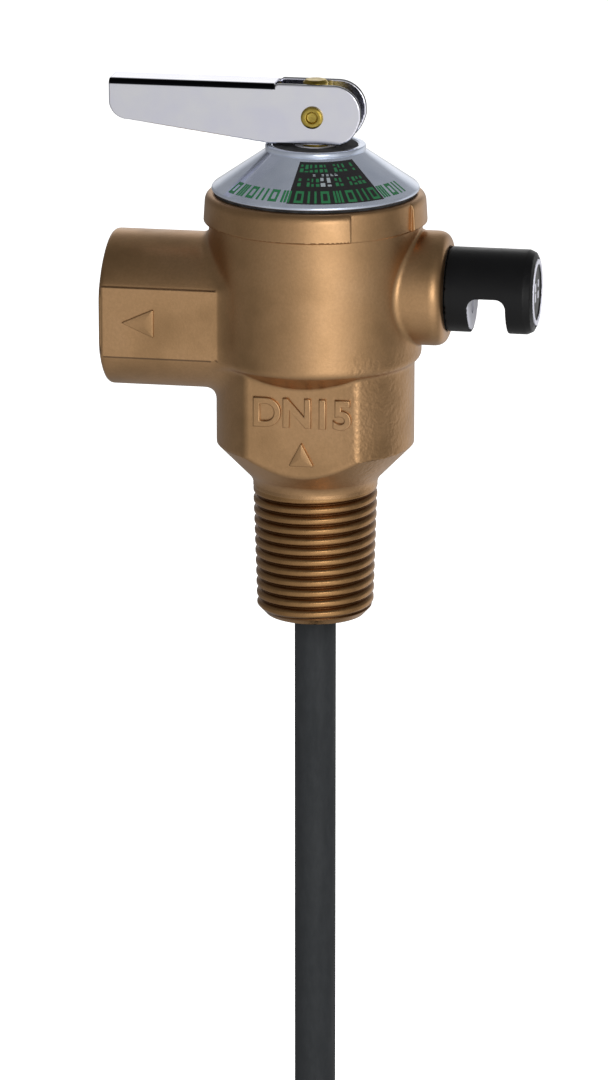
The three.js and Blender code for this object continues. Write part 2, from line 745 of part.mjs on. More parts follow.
// Side outline of the handle, from the ears' heel out to the rounded tip.
function handleShape() {
  const shape = new THREE.Shape();
  shape.moveTo(-WEB_END, LEVER_TOP);
  shape.lineTo(-LEVER_REACH, LEVER_TOP);
  shape.lineTo(-LEVER_REACH, LEVER_TIP_LOW + LEVER_TIP_ROUND);
  shape.quadraticCurveTo(-LEVER_REACH, LEVER_TIP_LOW, -LEVER_REACH + LEVER_TIP_ROUND, LEVER_TIP_LOW);
  shape.lineTo(-EAR_HEEL, -EAR_DROP);
  shape.lineTo(-WEB_END, -EAR_DROP);
  shape.closePath();
  return shape;
}

// Cross-section of the pressed channel, open below, with rounded bends at its top.
function channelShape() {
  const half = LEVER_WIDTH / 2;
  const inner = half - LEVER_SHEET;
  const innerBend = LEVER_BEND - LEVER_SHEET;
  const low = -EAR_DROP - 1;
  const shape = new THREE.Shape();
  shape.moveTo(-half, low);
  shape.lineTo(-inner, low);
  shape.lineTo(-inner, LEVER_TOP - LEVER_SHEET - innerBend);
  shape.absarc(-inner + innerBend, LEVER_TOP - LEVER_BEND, innerBend, Math.PI, Math.PI / 2, true);
  shape.absarc(inner - innerBend, LEVER_TOP - LEVER_BEND, innerBend, Math.PI / 2, 0, true);
  shape.lineTo(inner, low);
  shape.lineTo(half, low);
  shape.absarc(half - LEVER_BEND, LEVER_TOP - LEVER_BEND, LEVER_BEND, 0, Math.PI / 2, false);
  shape.absarc(-half + LEVER_BEND, LEVER_TOP - LEVER_BEND, LEVER_BEND, Math.PI / 2, Math.PI, false);
  shape.closePath();
  return shape;
}

function leverSolid() {
  const options = { depth: LEVER_REACH + 2, bevelEnabled: false, curveSegments: 5 };
  const channel = new THREE.ExtrudeGeometry(channelShape(), options)
    .rotateX(Math.PI / 2)
    .rotateZ(Math.PI / 2)
    .translate(-LEVER_REACH - 1, 0, 0);
  const handle = solidOf(channel).intersect(solidOf(plate(handleShape(), LEVER_WIDTH + 2, 0)));
  const earY = (LEVER_WIDTH - LEVER_SHEET) / 2;
  const ears = [-earY, earY].map((y) => solidOf(plate(earShape(), LEVER_SHEET, y)));
  const pinHole = rod(PIN_R + RUNNING_FIT, -LEVER_WIDTH, 2 * LEVER_WIDTH).rotateX(Math.PI / 2);
  return handle.add(ears[0]).add(ears[1]).subtract(solidOf(pinHole));
}

leverGroup.position.set(0, 0, pinZ);
place("test_lever", geometryOf(leverSolid()), "chrome", leverGroup);

// Hollow rivet: its two heads hold the ears, and the stem's head turns on its shank.
function pinProfile() {
  const ear = LEVER_WIDTH / 2 + SEAT_GAP;
  const end = ear + PIN_HEAD_THICKNESS;
  const half = [
    [PIN_R, ear],
    [PIN_HEAD_R, ear],
    [PIN_HEAD_R, end - 0.2],
    [PIN_HEAD_R - 0.3, end],
    [PIN_HOLLOW_R, end],
    [PIN_HOLLOW_R * 0.8, end - PIN_HOLLOW_DEPTH],
    [0, end - PIN_HOLLOW_DEPTH],
  ];
  const mirrored = half.map(([r, y]) => [r, -y]).reverse();
  return [...mirrored, ...half];
}
place("pivot_pin", revolve(pinProfile(), SMALL_SIDES).rotateX(Math.PI / 2), "turnedBrass", leverGroup);

// ---- Thermostat probe ----
const hubR = PROBE_R + SEAT_GAP + GUIDE_HUB_WALL;
const probeTopZ = guideTopZ - 1 - SEAT_GAP;
const rodTopZ = spigotFootZ - SEAT_GAP;
const tipTopZ = -PROBE_DROP + PROBE_TIP_LENGTH;
const probeInsideR = PROBE_R - PROBE_WALL;
const capsuleZ = tipTopZ + SEAT_GAP;
const capsuleTopZ = capsuleZ + CAPSULE_LENGTH;
const capsuleBoreZ = capsuleTopZ - CAPSULE_BORE;

function guideSolid() {
  const rimR = INLET_BORE_R - SEAT_GAP;
  const rim = solidOf(ring(rimR - GUIDE_RIM, rimR, guideZ, GUIDE_HEIGHT));
  const hub = solidOf(
    revolve([
      [PROBE_R + SEAT_GAP, guideZ],
      [hubR, guideZ],
      [hubR, guideTopZ],
      [PUSH_ROD_R + SLIDING_FIT, guideTopZ],
      [PUSH_ROD_R + SLIDING_FIT, guideTopZ - 1],
      [PROBE_R + SEAT_GAP, guideTopZ - 1],
    ]),
  );
  let guide = rim.add(hub);
  for (let i = 0; i < GUIDE_ARMS; i += 1) {
    const arm = box(
      hubR - GUIDE_HUB_WALL / 2,
      -GUIDE_ARM / 2,
      guideZ,
      rimR - GUIDE_RIM / 2,
      GUIDE_ARM / 2,
      guideTopZ,
    ).rotateZ((i * 2 * Math.PI) / GUIDE_ARMS + Math.PI / 4);
    guide = guide.add(solidOf(arm));
  }
  return guide;
}
place("probe_guide", geometryOf(guideSolid()), "turnedBrass");

const ringOuterR = INLET_BORE_R + GUIDE_RING_GROOVE - SEAT_GAP;
const snapRing = solidOf(ring(INLET_BORE_R - 0.7, ringOuterR, guideRingZ, GUIDE_RING_THICKNESS));
const snapGap = box(0, -1, guideRingZ - 1, DEEP, 1, guideRingZ + GUIDE_RING_THICKNESS + 1);
place("guide_ring", geometryOf(snapRing.subtract(solidOf(snapGap))), "steel");

place(
  "probe_tube",
  ring(probeInsideR, PROBE_R, tipTopZ - PROBE_TIP_LENGTH / 2, probeTopZ - tipTopZ + PROBE_TIP_LENGTH / 2, 32),
  "coatedTube",
);
place(
  "probe_tip",
  revolve(
    [
      [0, -PROBE_DROP],
      [PROBE_R * 0.6, -PROBE_DROP],
      [PROBE_R * 0.9, -PROBE_DROP + 0.7],
      [PROBE_R, -PROBE_DROP + 1.8],
      [PROBE_R, tipTopZ - PROBE_TIP_LENGTH / 2 - SEAT_GAP],
      [probeInsideR - SEAT_GAP, tipTopZ - PROBE_TIP_LENGTH / 2 - SEAT_GAP],
      [probeInsideR - SEAT_GAP, tipTopZ],
      [0, tipTopZ],
    ],
    32,
  ),
  "coatedTube",
);
place(
  "wax_capsule",
  revolve(
    [
      [0, capsuleZ],
      [probeInsideR - SEAT_GAP, capsuleZ],
      [probeInsideR - SEAT_GAP, capsuleTopZ],
      [PUSH_ROD_R + SLIDING_FIT, capsuleTopZ],
      [PUSH_ROD_R + SLIDING_FIT, capsuleBoreZ],
      [0, capsuleBoreZ],
    ],
    SMALL_SIDES,
  ),
  "turnedBrass",
);
const rodFootZ = capsuleBoreZ + SEAT_GAP;
place("push_rod", rod(PUSH_ROD_R, rodFootZ, rodTopZ - rodFootZ, 16), "steel");

// ---- Vent nozzle: its own axis runs along X ----
ventGroup.position.set(0, 0, ventZ);
const shoulderX = BOSS_REACH + SEAT_GAP;
const spigotX = BOSS_REACH - VENT_POCKET_DEPTH + SEAT_GAP + POPPET_SEAL + 0.4;
const nozzleEndX = shoulderX + NOZZLE_LENGTH;
const notchX = BOSS_REACH + NOTCH_SET;
const insertX = notchX - INSERT_THICKNESS;
const insertR = NOZZLE_R - 0.45;

function notchSolid() {
  const left = notchX;
  const right = notchX + NOTCH_WIDTH;
  const top = 0;
  const shape = new THREE.Shape();
  shape.moveTo(left, -DEEP);
  shape.lineTo(right, -DEEP);
  shape.lineTo(right, top - NOTCH_CORNER);
  shape.absarc(right - NOTCH_CORNER, top - NOTCH_CORNER, NOTCH_CORNER, 0, Math.PI / 2, false);
  shape.absarc(left + NOTCH_CORNER, top - NOTCH_CORNER, NOTCH_CORNER, Math.PI / 2, Math.PI, false);
  shape.closePath();
  return solidOf(plate(shape, 4 * NOZZLE_R, 0));
}

function nozzleSolid() {
  const outer = solidOf(
    revolveAlongX(
      [
        [0, spigotX],
        [spigotR, spigotX],
        [spigotR, shoulderX],
        [NOZZLE_R, shoulderX],
        [NOZZLE_R, nozzleEndX - NOZZLE_CHAMFER],
        [NOZZLE_R - NOZZLE_CHAMFER, nozzleEndX],
        [0, nozzleEndX],
      ],
      0,
    ),
  );
  const bore = revolveAlongX([[0, 0], [NOZZLE_BORE_R, 0], [NOZZLE_BORE_R, notchX + 1], [0, notchX + 1]], 0, SMALL_SIDES);
  const insertSeat = revolveAlongX(
    [
      [0, insertX - SEAT_GAP],
      [insertR + SEAT_GAP, insertX - SEAT_GAP],
      [insertR + SEAT_GAP, notchX + 1],
      [0, notchX + 1],
    ],
    0,
  );
  const ringFoot = nozzleEndX - END_RING_DEPTH;
  const groove = revolveAlongX(
    [
      [END_RING_R - END_RING_WIDTH / 2 - SEAT_GAP, ringFoot],
      [END_RING_R + END_RING_WIDTH / 2 + SEAT_GAP, ringFoot],
      [END_RING_R + END_RING_WIDTH / 2 + SEAT_GAP, nozzleEndX + 1],
      [END_RING_R - END_RING_WIDTH / 2 - SEAT_GAP, nozzleEndX + 1],
    ],
    0,
  );
  return outer
    .subtract(solidOf(bore))
    .subtract(solidOf(insertSeat))
    .subtract(notchSolid())
    .subtract(solidOf(groove));
}
place("vent_nozzle", geometryOf(nozzleSolid()), "blackPlastic", ventGroup);

function ringAlongX(innerR, outerR, x, thickness, sides = SMALL_SIDES) {
  return revolveAlongX([[innerR, x], [outerR, x], [outerR, x + thickness], [innerR, x + thickness]], 0, sides);
}

// Perforated disc in the notch's near wall: it holds the spring and lets the air out.
function insertSolid() {
  const disc = [[0, insertX], [insertR, insertX], [insertR, notchX], [0, notchX]];
  let insert = solidOf(revolveAlongX(disc, 0));
  for (let i = 0; i < INSERT_HOLES; i += 1) {
    const hole = rod(INSERT_HOLE_R, insertX - 1, INSERT_THICKNESS + 2, 14)
      .translate(INSERT_HOLE_CIRCLE, 0, 0)
      .rotateY(Math.PI / 2)
      .rotateX((i * 2 * Math.PI) / INSERT_HOLES);
    insert = insert.subtract(solidOf(hole));
  }
  return insert;
}
place("vent_insert", geometryOf(insertSolid()), "paleNylon", ventGroup);
place(
  "nozzle_end_ring",
  ringAlongX(
    END_RING_R - END_RING_WIDTH / 2,
    END_RING_R + END_RING_WIDTH / 2,
    nozzleEndX - END_RING_DEPTH + SEAT_GAP,
    END_RING_DEPTH - SEAT_GAP,
    ROUND_SIDES,
  ),
  "paleNylon",
  ventGroup,
);
const ventSealX = BOSS_REACH - VENT_RING_SECTION;
place(
  "vent_oring",
  torus(ventSealR, VENT_RING_SECTION, 0).rotateY(Math.PI / 2).translate(ventSealX, 0, 0),
  "rubber",
  ventGroup,
);

// Poppet, its seal and its spring, in that order from the body outwards.
const sealX = BOSS_REACH - VENT_POCKET_DEPTH + SEAT_GAP;
const poppetX = sealX + POPPET_SEAL + SEAT_GAP;
const poppetR = NOZZLE_BORE_R - 2 * SEAT_GAP;
const poppetEndX = poppetX + POPPET_LENGTH;
const ventSpringR = (poppetR - VENT_SPRING_WIRE) * 0.75;
place("poppet_seal", ringAlongX(0.6, poppetR - 0.4, sealX, POPPET_SEAL), "rubber", ventGroup);
place(
  "vent_poppet",
  revolveAlongX(
    [
      [0, poppetX],
      [poppetR, poppetX],
      [poppetR, poppetX + 1.2],
      [ventSpringR - VENT_SPRING_WIRE, poppetX + 1.2],
      [ventSpringR - VENT_SPRING_WIRE, poppetEndX],
      [0, poppetEndX],
    ],
    0,
    SMALL_SIDES,
  ),
  "turnedBrass",
  ventGroup,
);
const ventSpring = coilSpring(
  ventSpringR,
  VENT_SPRING_WIRE,
  poppetX + 1.2 + SEAT_GAP,
  insertX - 2 * SEAT_GAP,
  4,
  10,
).rotateY(Math.PI / 2);
place("vent_spring", ventSpring, "steel", ventGroup);

valve.add(stemGroup, leverGroup, ventGroup);

export default valve;
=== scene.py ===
"""Looks of a temperature and pressure relief valve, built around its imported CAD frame.

Lengths in this file are millimetres in the valve's own frame until a mesh is made, which is in metres.
"""

import itertools
import logging
import math
from dataclasses import dataclass
from enum import Enum
from functools import cache
from typing import Callable, Sequence

import bpy
import numpy as np
from mathutils import Matrix, Vector


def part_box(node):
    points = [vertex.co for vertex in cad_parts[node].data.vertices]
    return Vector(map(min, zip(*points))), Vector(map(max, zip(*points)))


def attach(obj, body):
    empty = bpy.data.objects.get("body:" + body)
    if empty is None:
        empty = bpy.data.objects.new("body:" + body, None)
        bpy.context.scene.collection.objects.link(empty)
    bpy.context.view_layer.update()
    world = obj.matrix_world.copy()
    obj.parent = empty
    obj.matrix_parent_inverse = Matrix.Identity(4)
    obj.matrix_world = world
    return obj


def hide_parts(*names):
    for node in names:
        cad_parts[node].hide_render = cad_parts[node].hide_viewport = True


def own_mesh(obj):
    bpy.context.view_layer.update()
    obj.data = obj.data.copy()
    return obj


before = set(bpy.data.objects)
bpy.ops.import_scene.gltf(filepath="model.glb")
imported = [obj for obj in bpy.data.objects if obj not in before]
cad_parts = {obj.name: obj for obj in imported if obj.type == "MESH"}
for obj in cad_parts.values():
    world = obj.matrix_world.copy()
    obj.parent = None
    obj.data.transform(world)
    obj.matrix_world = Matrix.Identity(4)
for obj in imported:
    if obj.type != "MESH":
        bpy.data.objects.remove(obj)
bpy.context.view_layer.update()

log = logging.getLogger("relief_valve")

MM = 0.001
FAR = 60.0  # a half space reaches this far
SEED = 7
CREST_SHADE = 0.88  # the crest attribute's value on a thread's crests

Field = Callable[[np.ndarray], np.ndarray]
Tree = bpy.types.NodeTree
Socket = bpy.types.NodeSocket
Point = tuple[float, float]
Patch = tuple[float, float, float, float]


class Body(Enum):
    """The rigid bodies of the valve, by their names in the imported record."""

    CASING = "body"
    STEM = "stem"
    LEVER = "lever"
    ROD = "push_rod"
    POPPET = "vent_poppet"


class Slot(Enum):
    """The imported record's material slots."""

    CAST_BRASS = "cast_brass"
    TURNED_BRASS = "turned_brass"
    CHROME = "chromed_steel"
    STEEL = "spring_steel"
    BLACK = "black_plastic"
    NYLON = "pale_nylon"
    RUBBER = "seal_rubber"
    TUBE = "coated_tube"
    LABEL = "label_film"


# ---------------------------------------------------------------- materials


def linear(hex_colour: str) -> tuple[float, float, float, float]:
    """Turns an sRGB hex colour into linear light.

    Args:
        hex_colour: six hex digits, with or without a hash.

    Returns:
        Red, green, blue and an alpha of one.
    """
    digits = hex_colour.lstrip("#")
    parts = [int(digits[i : i + 2], 16) / 255 for i in (0, 2, 4)]
    light = [c / 12.92 if c <= 0.04045 else ((c + 0.055) / 1.055) ** 2.4 for c in parts]
    return (light[0], light[1], light[2], 1.0)


def add_node(
    tree: Tree,
    kind: str,
    inputs: dict[str | int, object] | None = None,
    output: str | int = 0,
    stops: Sequence[tuple[float, str]] = (),
    **settings: object,
) -> Socket:
    """Adds one node with its settings, its colour stops, and its sockets' values or links.

    Args:
        tree: the material's node tree.
        kind: the node's Blender type.
        inputs: socket name or number to a value, or to an output socket to link from.
        output: the name or number of the output that is wanted.
        stops: a colour ramp's places from 0 to 1, each with an sRGB hex colour.
        settings: attributes of the node.

    Returns:
        The wanted output of the new node.
    """
    node = tree.nodes.new(kind)
    for key, value in settings.items():
        setattr(node, key, value)
    for key, value in (inputs or {}).items():
        if isinstance(value, Socket):
            tree.links.new(value, node.inputs[key])
        else:
            node.inputs[key].default_value = value
    for k, (place, colour) in enumerate(stops):
        elements = node.color_ramp.elements
        element = elements[k] if k < 2 else elements.new(place)
        element.position, element.color = place, linear(colour)
    return node.outputs[output]


def noise(
    tree: Tree,
    size_mm: float,
    detail: float = 3.0,
    stretch: tuple[float, float, float] = (1.0, 1.0, 1.0),
    roughness: float = 0.55,
) -> Socket:
    """Noise whose cells are about size_mm across, on Object coordinates.

    Args:
        tree: the material's node tree.
        size_mm: the width of one cell.
        detail: how many finer layers are added.
        stretch: how many times more often the pattern changes along X, Y and Z.
        roughness: the share of the finer layers.

    Returns:
        The noise value, from 0 to 1.
    """
    place = add_node(tree, "ShaderNodeTexCoord", output="Object")
    mapped = add_node(tree, "ShaderNodeMapping", {"Vector": place, "Scale": stretch})
    scales = {"Scale": 1 / (size_mm * MM), "Detail": detail, "Roughness": roughness}
    return add_node(tree, "ShaderNodeTexNoise", {"Vector": mapped, **scales})


def spread(tree: Tree, pattern: Socket, low: float, high: float) -> Socket:
    """Stretches the middle of a noise, where nearly all of it lies, to the range low to high."""
    return add_node(tree, "ShaderNodeMapRange", {0: pattern, 1: 0.3, 2: 0.7, 3: low, 4: high})


def share_past(tree: Tree, axis: int, start_mm: float, end_mm: float, either_side: bool = False) -> Socket:
    """A share that goes from 0 to 1 between two places along an axis of Object coordinates.

    Args:
        tree: the material's node tree.
        axis: 0, 1 or 2 for X, Y or Z.
        start_mm: where the share is 0.
        end_mm: where it is 1.
        either_side: whether the places are measured outwards from 0 on both sides.

    Returns:
        The share.
    """
    place = add_node(tree, "ShaderNodeTexCoord", output="Object")
    along = add_node(tree, "ShaderNodeSeparateXYZ", {0: place}, axis)
    if either_side:
        along = add_node(tree, "ShaderNodeMath", {0: along}, operation="ABSOLUTE")
    return add_node(tree, "ShaderNodeMapRange", {0: along, 1: start_mm * MM, 2: end_mm * MM})


@dataclass(frozen=True)
class Finish:
    """A finish's plain shader values. Subclasses add the pattern that the real surface shows."""

    name: str
    colour: str
    roughness: float
    metallic: float = 0.0
    ior: float = 1.5

    def make(self) -> bpy.types.Material:
        """Builds the material and links its pattern.

        Returns:
            The finished material.
        """
        material = bpy.data.materials.new(self.name)
        material.use_nodes = True
        tree = material.node_tree
        shader = next(n for n in tree.nodes if n.type == "BSDF_PRINCIPLED")
        shader.inputs["Base Color"].default_value = linear(self.colour)
        shader.inputs["Roughness"].default_value = self.roughness
        shader.inputs["Metallic"].default_value = self.metallic
        if self.metallic == 0:
            shader.inputs["IOR"].default_value = self.ior
        material.diffuse_color = linear(self.colour)
        for name, source in self.pattern(tree).items():
            if isinstance(source, Socket):
                tree.links.new(source, shader.inputs[name])
            else:
                shader.inputs[name].default_value = source
        return material

    def pattern(self, tree: Tree) -> dict[str, object]:
        """What drives the shader's sockets, by name."""
        raise NotImplementedError

    def gloss(self, tree: Tree, pattern: Socket, least: float, most: float) -> Socket:
        """Roughness that follows a pattern between two shares of the finish's own."""
        return spread(tree, pattern, self.roughness * least, self.roughness * most)


@dataclass(frozen=True)
class HotForgedBrass(Finish):
    """Hot-forged brass, shot-blasted: satin and finely grained, with a faint film in patches."""

    dark: str = "#A8845D"
    light: str = "#CDA47A"
    grain_mm: float = 0.30  # blasting grit
    pit_mm: float = 0.8  # pits left by a worn die at the right foot of the casing
    pits_from_x: float = 7.0
    pits_below_z: float = 50.0

    def pattern(self, tree: Tree) -> dict[str, object]:
        """Film patches and grit specks in the colour, and slow swells, grain and pits in the relief.

        Args:
            tree: The material's nodes.

        Returns:
            Each driven socket's name and what drives it.
        """
        stops = [(0.25, self.dark), (0.5, self.colour), (0.8, self.light)]
        film = add_node(tree, "ShaderNodeValToRGB", {0: noise(tree, 11.0, 3.0)}, stops=stops)
        specks = spread(tree, noise(tree, self.grain_mm * 1.6, 2.0), 0.0, 0.6)
        grit = add_node(tree, "ShaderNodeMix", {0: 0.5, 6: film, 7: linear(self.dark)}, 2, data_type="RGBA")
        speckled = add_node(tree, "ShaderNodeMix", {0: specks, 6: film, 7: grit}, 2, data_type="RGBA")
        swells = {"Height": noise(tree, 3.2, 1.0), "Distance": 0.03 * MM, "Strength": 0.3}
        grain = {"Height": noise(tree, self.grain_mm, 2.0), "Distance": 0.02 * MM, "Strength": 0.8}
        grain["Normal"] = add_node(tree, "ShaderNodeBump", swells)
        right = share_past(tree, 0, self.pits_from_x, self.pits_from_x + 2.5)
        under = share_past(tree, 2, self.pits_below_z, self.pits_below_z - 4)
        where = add_node(tree, "ShaderNodeMath", {0: right, 1: under}, operation="MULTIPLY")
        pocks = {0: where, 1: noise(tree, self.pit_mm, 1.0)}
        pits = add_node(tree, "ShaderNodeMath", pocks, operation="MULTIPLY")
        worn = {"Height": pits, "Distance": 0.1 * MM, "Normal": add_node(tree, "ShaderNodeBump", grain)}
        return {
            "Base Color": speckled,
            "Roughness": self.gloss(tree, noise(tree, 5.0, 4.0), 0.9, 1.12),
            "Normal": add_node(tree, "ShaderNodeBump", worn),
        }


@dataclass(frozen=True)
class TurnedBrass(Finish):
    """Brass turned on a lathe: bright, with fine rings and a light tarnish in its hollows."""

    tarnish: str = "#8F7832"

    def pattern(self, tree: Tree) -> dict[str, object]:
        """Tarnish patches, and turning marks about 0.25 mm apart, coarser than real so that they show.

        Args:
            tree: The material's nodes.

        Returns:
            Each driven socket's name and what drives it.
        """
        stops = [(0.32, self.tarnish), (0.62, self.colour)]
        marks = noise(tree, 1.6, 2.0, (1.0, 1.0, 7.0))
        rings = {"Height": marks, "Distance": 0.02 * MM, "Strength": 0.6}
        return {
            "Base Color": add_node(tree, "ShaderNodeValToRGB", {0: noise(tree, 3.0, 4.0)}, stops=stops),
            "Roughness": self.gloss(tree, marks, 0.7, 1.4),
            "Normal": add_node(tree, "ShaderNodeBump", rings),
        }


@dataclass(frozen=True)
class ThreadBrass(Finish):
    """Brass thread cut after blasting: bright crests, painted shade on its flanks and roots, and a red-brown
    film of oil and dust in patches.
    """

    # film colours the random patches of oil and dust, and also the roots as painted shade
    film: str = "#6E4B2D"
    flank_shade: str = "#906C48"
    neck: str = "#C59C71"

    def pattern(self, tree: Tree) -> dict[str, object]:
        """Colours by the crest attribute, which is 0 at a root, 0.88 at a crest and 1 on the plain neck;
        roots and flanks get painted shade.

        Args:
            tree: The material's nodes.

        Returns:
            Each driven socket's name and what drives it.
        """
        crest = add_node(tree, "ShaderNodeAttribute", output="Fac", attribute_name="crest")
        # roots and flanks darker than the crests: painted shade in the thread's grooves
        stops = [(0.1, self.film), (0.5, self.flank_shade), (CREST_SHADE, self.colour), (0.97, self.neck)]
        cut = add_node(tree, "ShaderNodeValToRGB", {0: crest}, stops=stops)
        oily = add_node(tree, "ShaderNodeMix", {0: 0.5, 6: cut, 7: linear(self.film)}, 2, data_type="RGBA")
        patches = {0: spread(tree, noise(tree, 1.3, 4.0), 0.0, 0.3), 6: cut, 7: oily}
        tool_marks = {"Height": noise(tree, 0.35, 2.0), "Distance": 0.03 * MM, "Strength": 0.6}
        return {
            "Base Color": add_node(tree, "ShaderNodeMix", patches, 2, data_type="RGBA"),
            "Roughness": self.gloss(tree, noise(tree, 0.8, 3.0), 0.75, 1.5),
            "Normal": add_node(tree, "ShaderNodeBump", tool_marks),
        }


@dataclass(frozen=True)
class BrightChrome(Finish):
    """Bright chrome plate on pressed sheet steel: a mirror with faint orange peel, wipe marks and dust."""

    shade: str = "#C9CBD6"
    peel_mm: float = 0.008
    wiped: float = 0.8
    dusty: float = 1.3

    def pattern(self, tree: Tree) -> dict[str, object]:
        """A bluish cast in patches, wipe marks and very shallow waves.

        Args:
            tree: The material's nodes.

        Returns:
            Each driven socket's name and what drives it.
        """
        peel = {"Height": noise(tree, 2.4, 1.0), "Distance": self.peel_mm * MM, "Strength": 0.5}
        wipes = noise(tree, 1.4, 5.0, (1.0, 2.5, 1.0), 0.7)
        return {
            "Base Color": self.tint(tree),
            "Roughness": self.gloss(tree, wipes, self.wiped, self.dusty),
            "Normal": add_node(tree, "ShaderNodeBump", peel),
        }

    def tint(self, tree: Tree) -> Socket:
        """The plate's colour."""
        stops = [(0.35, self.shade), (0.65, self.colour)]
        return add_node(tree, "ShaderNodeValToRGB", {0: noise(tree, 6.0, 3.0)}, stops=stops)


@dataclass(frozen=True)
class PressedChrome(BrightChrome):
    """Chrome on a pressed handle, with painted dark reflection along its bends and on its sheared edges."""

    wiped: float = 0.85
    dusty: float = 1.2
    bend_z: float = 89.98
    bend_y: float = 2.45
    bend_x: float = -6.1
    bend_dark_reflection: str = "#17181B"
    shear_dark_reflection: str = "#3A3B3F"

    def tint(self, tree: Tree) -> Socket:
        """The plate's colour, with painted dark reflection as lines along the two bends and on the sheared
        edges of the ears.

        A sheared edge is where the surface doesn't face along Y, ahead of the handle's end.

        Args:
            tree: The material's nodes.

        Returns:
            The colour's socket.
        """
        # the dark lines along the two bends are painted dark reflection
        beside = share_past(tree, 1, self.bend_y, self.bend_y + 0.12, either_side=True)
        above = share_past(tree, 2, self.bend_z, self.bend_z + 0.1)
        along = share_past(tree, 0, self.bend_x, self.bend_x - 0.15)
        edge = add_node(tree, "ShaderNodeMath", {0: beside, 1: above}, operation="MULTIPLY")
        edge = add_node(tree, "ShaderNodeMath", {0: edge, 1: along}, operation="MULTIPLY")
        bends = {0: edge, 6: super().tint(tree), 7: linear(self.bend_dark_reflection)}
        bend_reflection_lined = add_node(tree, "ShaderNodeMix", bends, 2, data_type="RGBA")
        # the dark sheared edges of the ears are painted dark reflection
        facing = add_node(tree, "ShaderNodeTexCoord", output="Normal")
        facing_y = add_node(tree, "ShaderNodeSeparateXYZ", {0: facing}, 1)
        flat = add_node(tree, "ShaderNodeMath", {0: facing_y}, operation="ABSOLUTE")
        turned = add_node(tree, "ShaderNodeMapRange", {0: flat, 1: 0.55, 2: 0.75, 3: 1.0, 4: 0.0})
        ahead = share_past(tree, 0, self.bend_x, self.bend_x + 0.3)
        shear = add_node(tree, "ShaderNodeMath", {0: turned, 1: ahead}, operation="MULTIPLY")
        edges = {0: shear, 6: bend_reflection_lined, 7: linear(self.shear_dark_reflection)}
        return add_node(tree, "ShaderNodeMix", edges, 2, data_type="RGBA")


@dataclass(frozen=True)
class DrawnSteel(Finish):
    """Stainless spring wire or stamped strip: fine drawing lines and a satin shine."""

    def pattern(self, tree: Tree) -> dict[str, object]:
        """Lines along the drawing direction, in roughness and relief.

        Args:
            tree: The material's nodes.

        Returns:
            Each driven socket's name and what drives it.
        """
        lines = noise(tree, 0.7, 3.0, (1.0, 1.0, 5.0))
        scratches = {"Height": lines, "Distance": 0.012 * MM, "Strength": 0.5}
        return {
            "Roughness": self.gloss(tree, lines, 0.7, 1.5),
            "Normal": add_node(tree, "ShaderNodeBump", scratches),
        }


@dataclass(frozen=True)
class MouldedPlastic(Finish):
    """Injection-moulded plastic: an even colour, spark-eroded texture and small changes of gloss."""

    texture_mm: float = 0.3
    depth_mm: float = 0.008

    def pattern(self, tree: Tree) -> dict[str, object]:
        """Gloss patches and the mould's texture.

        Args:
            tree: The material's nodes.

        Returns:
            Each driven socket's name and what drives it.
        """
        height = noise(tree, self.texture_mm, 2.0)
        texture = {"Height": height, "Distance": self.depth_mm * MM, "Strength": 0.7}
        return {
            "Roughness": self.gloss(tree, noise(tree, 3.0, 4.0), 0.75, 1.3),
            "Normal": add_node(tree, "ShaderNodeBump", texture),
        }


@dataclass(frozen=True)
class PrintedInk(MouldedPlastic):
    """Screen-printed ink: a thin even film with the weave of the screen."""

    texture_mm: float = 0.25
    depth_mm: float = 0.004


@dataclass(frozen=True)
class EpoxyCoatedTube(Finish):
    """Copper tube dipped in dark epoxy: satin, with slow runs down its length and fine dust."""

    dust: str = "#303234"

    def pattern(self, tree: Tree) -> dict[str, object]:
        """Dust patches stretched down the tube, and runs in the coating.

        Args:
            tree: The material's nodes.

        Returns:
            Each driven socket's name and what drives it.
        """
        runs = noise(tree, 2.2, 4.0, (1.0, 1.0, 0.12))
        patches = noise(tree, 1.2, 5.0, (1.0, 1.0, 0.4), 0.7)
        stops = [(0.42, self.colour), (0.8, self.dust)]
        sags = add_node(tree, "ShaderNodeBump", {"Height": runs, "Distance": 0.03 * MM, "Strength": 0.4})
        grain = {"Height": noise(tree, 0.4, 2.0), "Distance": 0.01 * MM, "Strength": 0.4, "Normal": sags}
        return {
            "Base Color": add_node(tree, "ShaderNodeValToRGB", {0: patches}, stops=stops),
            "Roughness": self.gloss(tree, runs, 0.8, 1.2),
            "Normal": add_node(tree, "ShaderNodeBump", grain),
        }


@dataclass(frozen=True)
class LitPaper(Finish):
    """White background paper that is lit from behind: faint fibres, and a glow that hides its shading."""

    glow: float = 0.9

    def pattern(self, tree: Tree) -> dict[str, object]:
        """The glow, and fibres as a small change of roughness."""
        fibres = spread(tree, noise(tree, 4.0), 0.85, 0.95)
        return {"Emission Color": linear("#FFFFFF"), "Emission Strength": self.glow, "Roughness": fibres}


@dataclass(frozen=True)
class NitrileRubber(Finish):
    """Moulded nitrile rubber: matte, with a slight bloom."""

    bloom: str = "#3A3A3B"

    def pattern(self, tree: Tree) -> dict[str, object]:
        """Bloom, a pale film in patches."""
        stops = [(0.4, self.colour), (0.8, self.bloom)]
        return {"Base Color": add_node(tree, "ShaderNodeValToRGB", {0: noise(tree, 1.5, 4.0)}, stops=stops)}


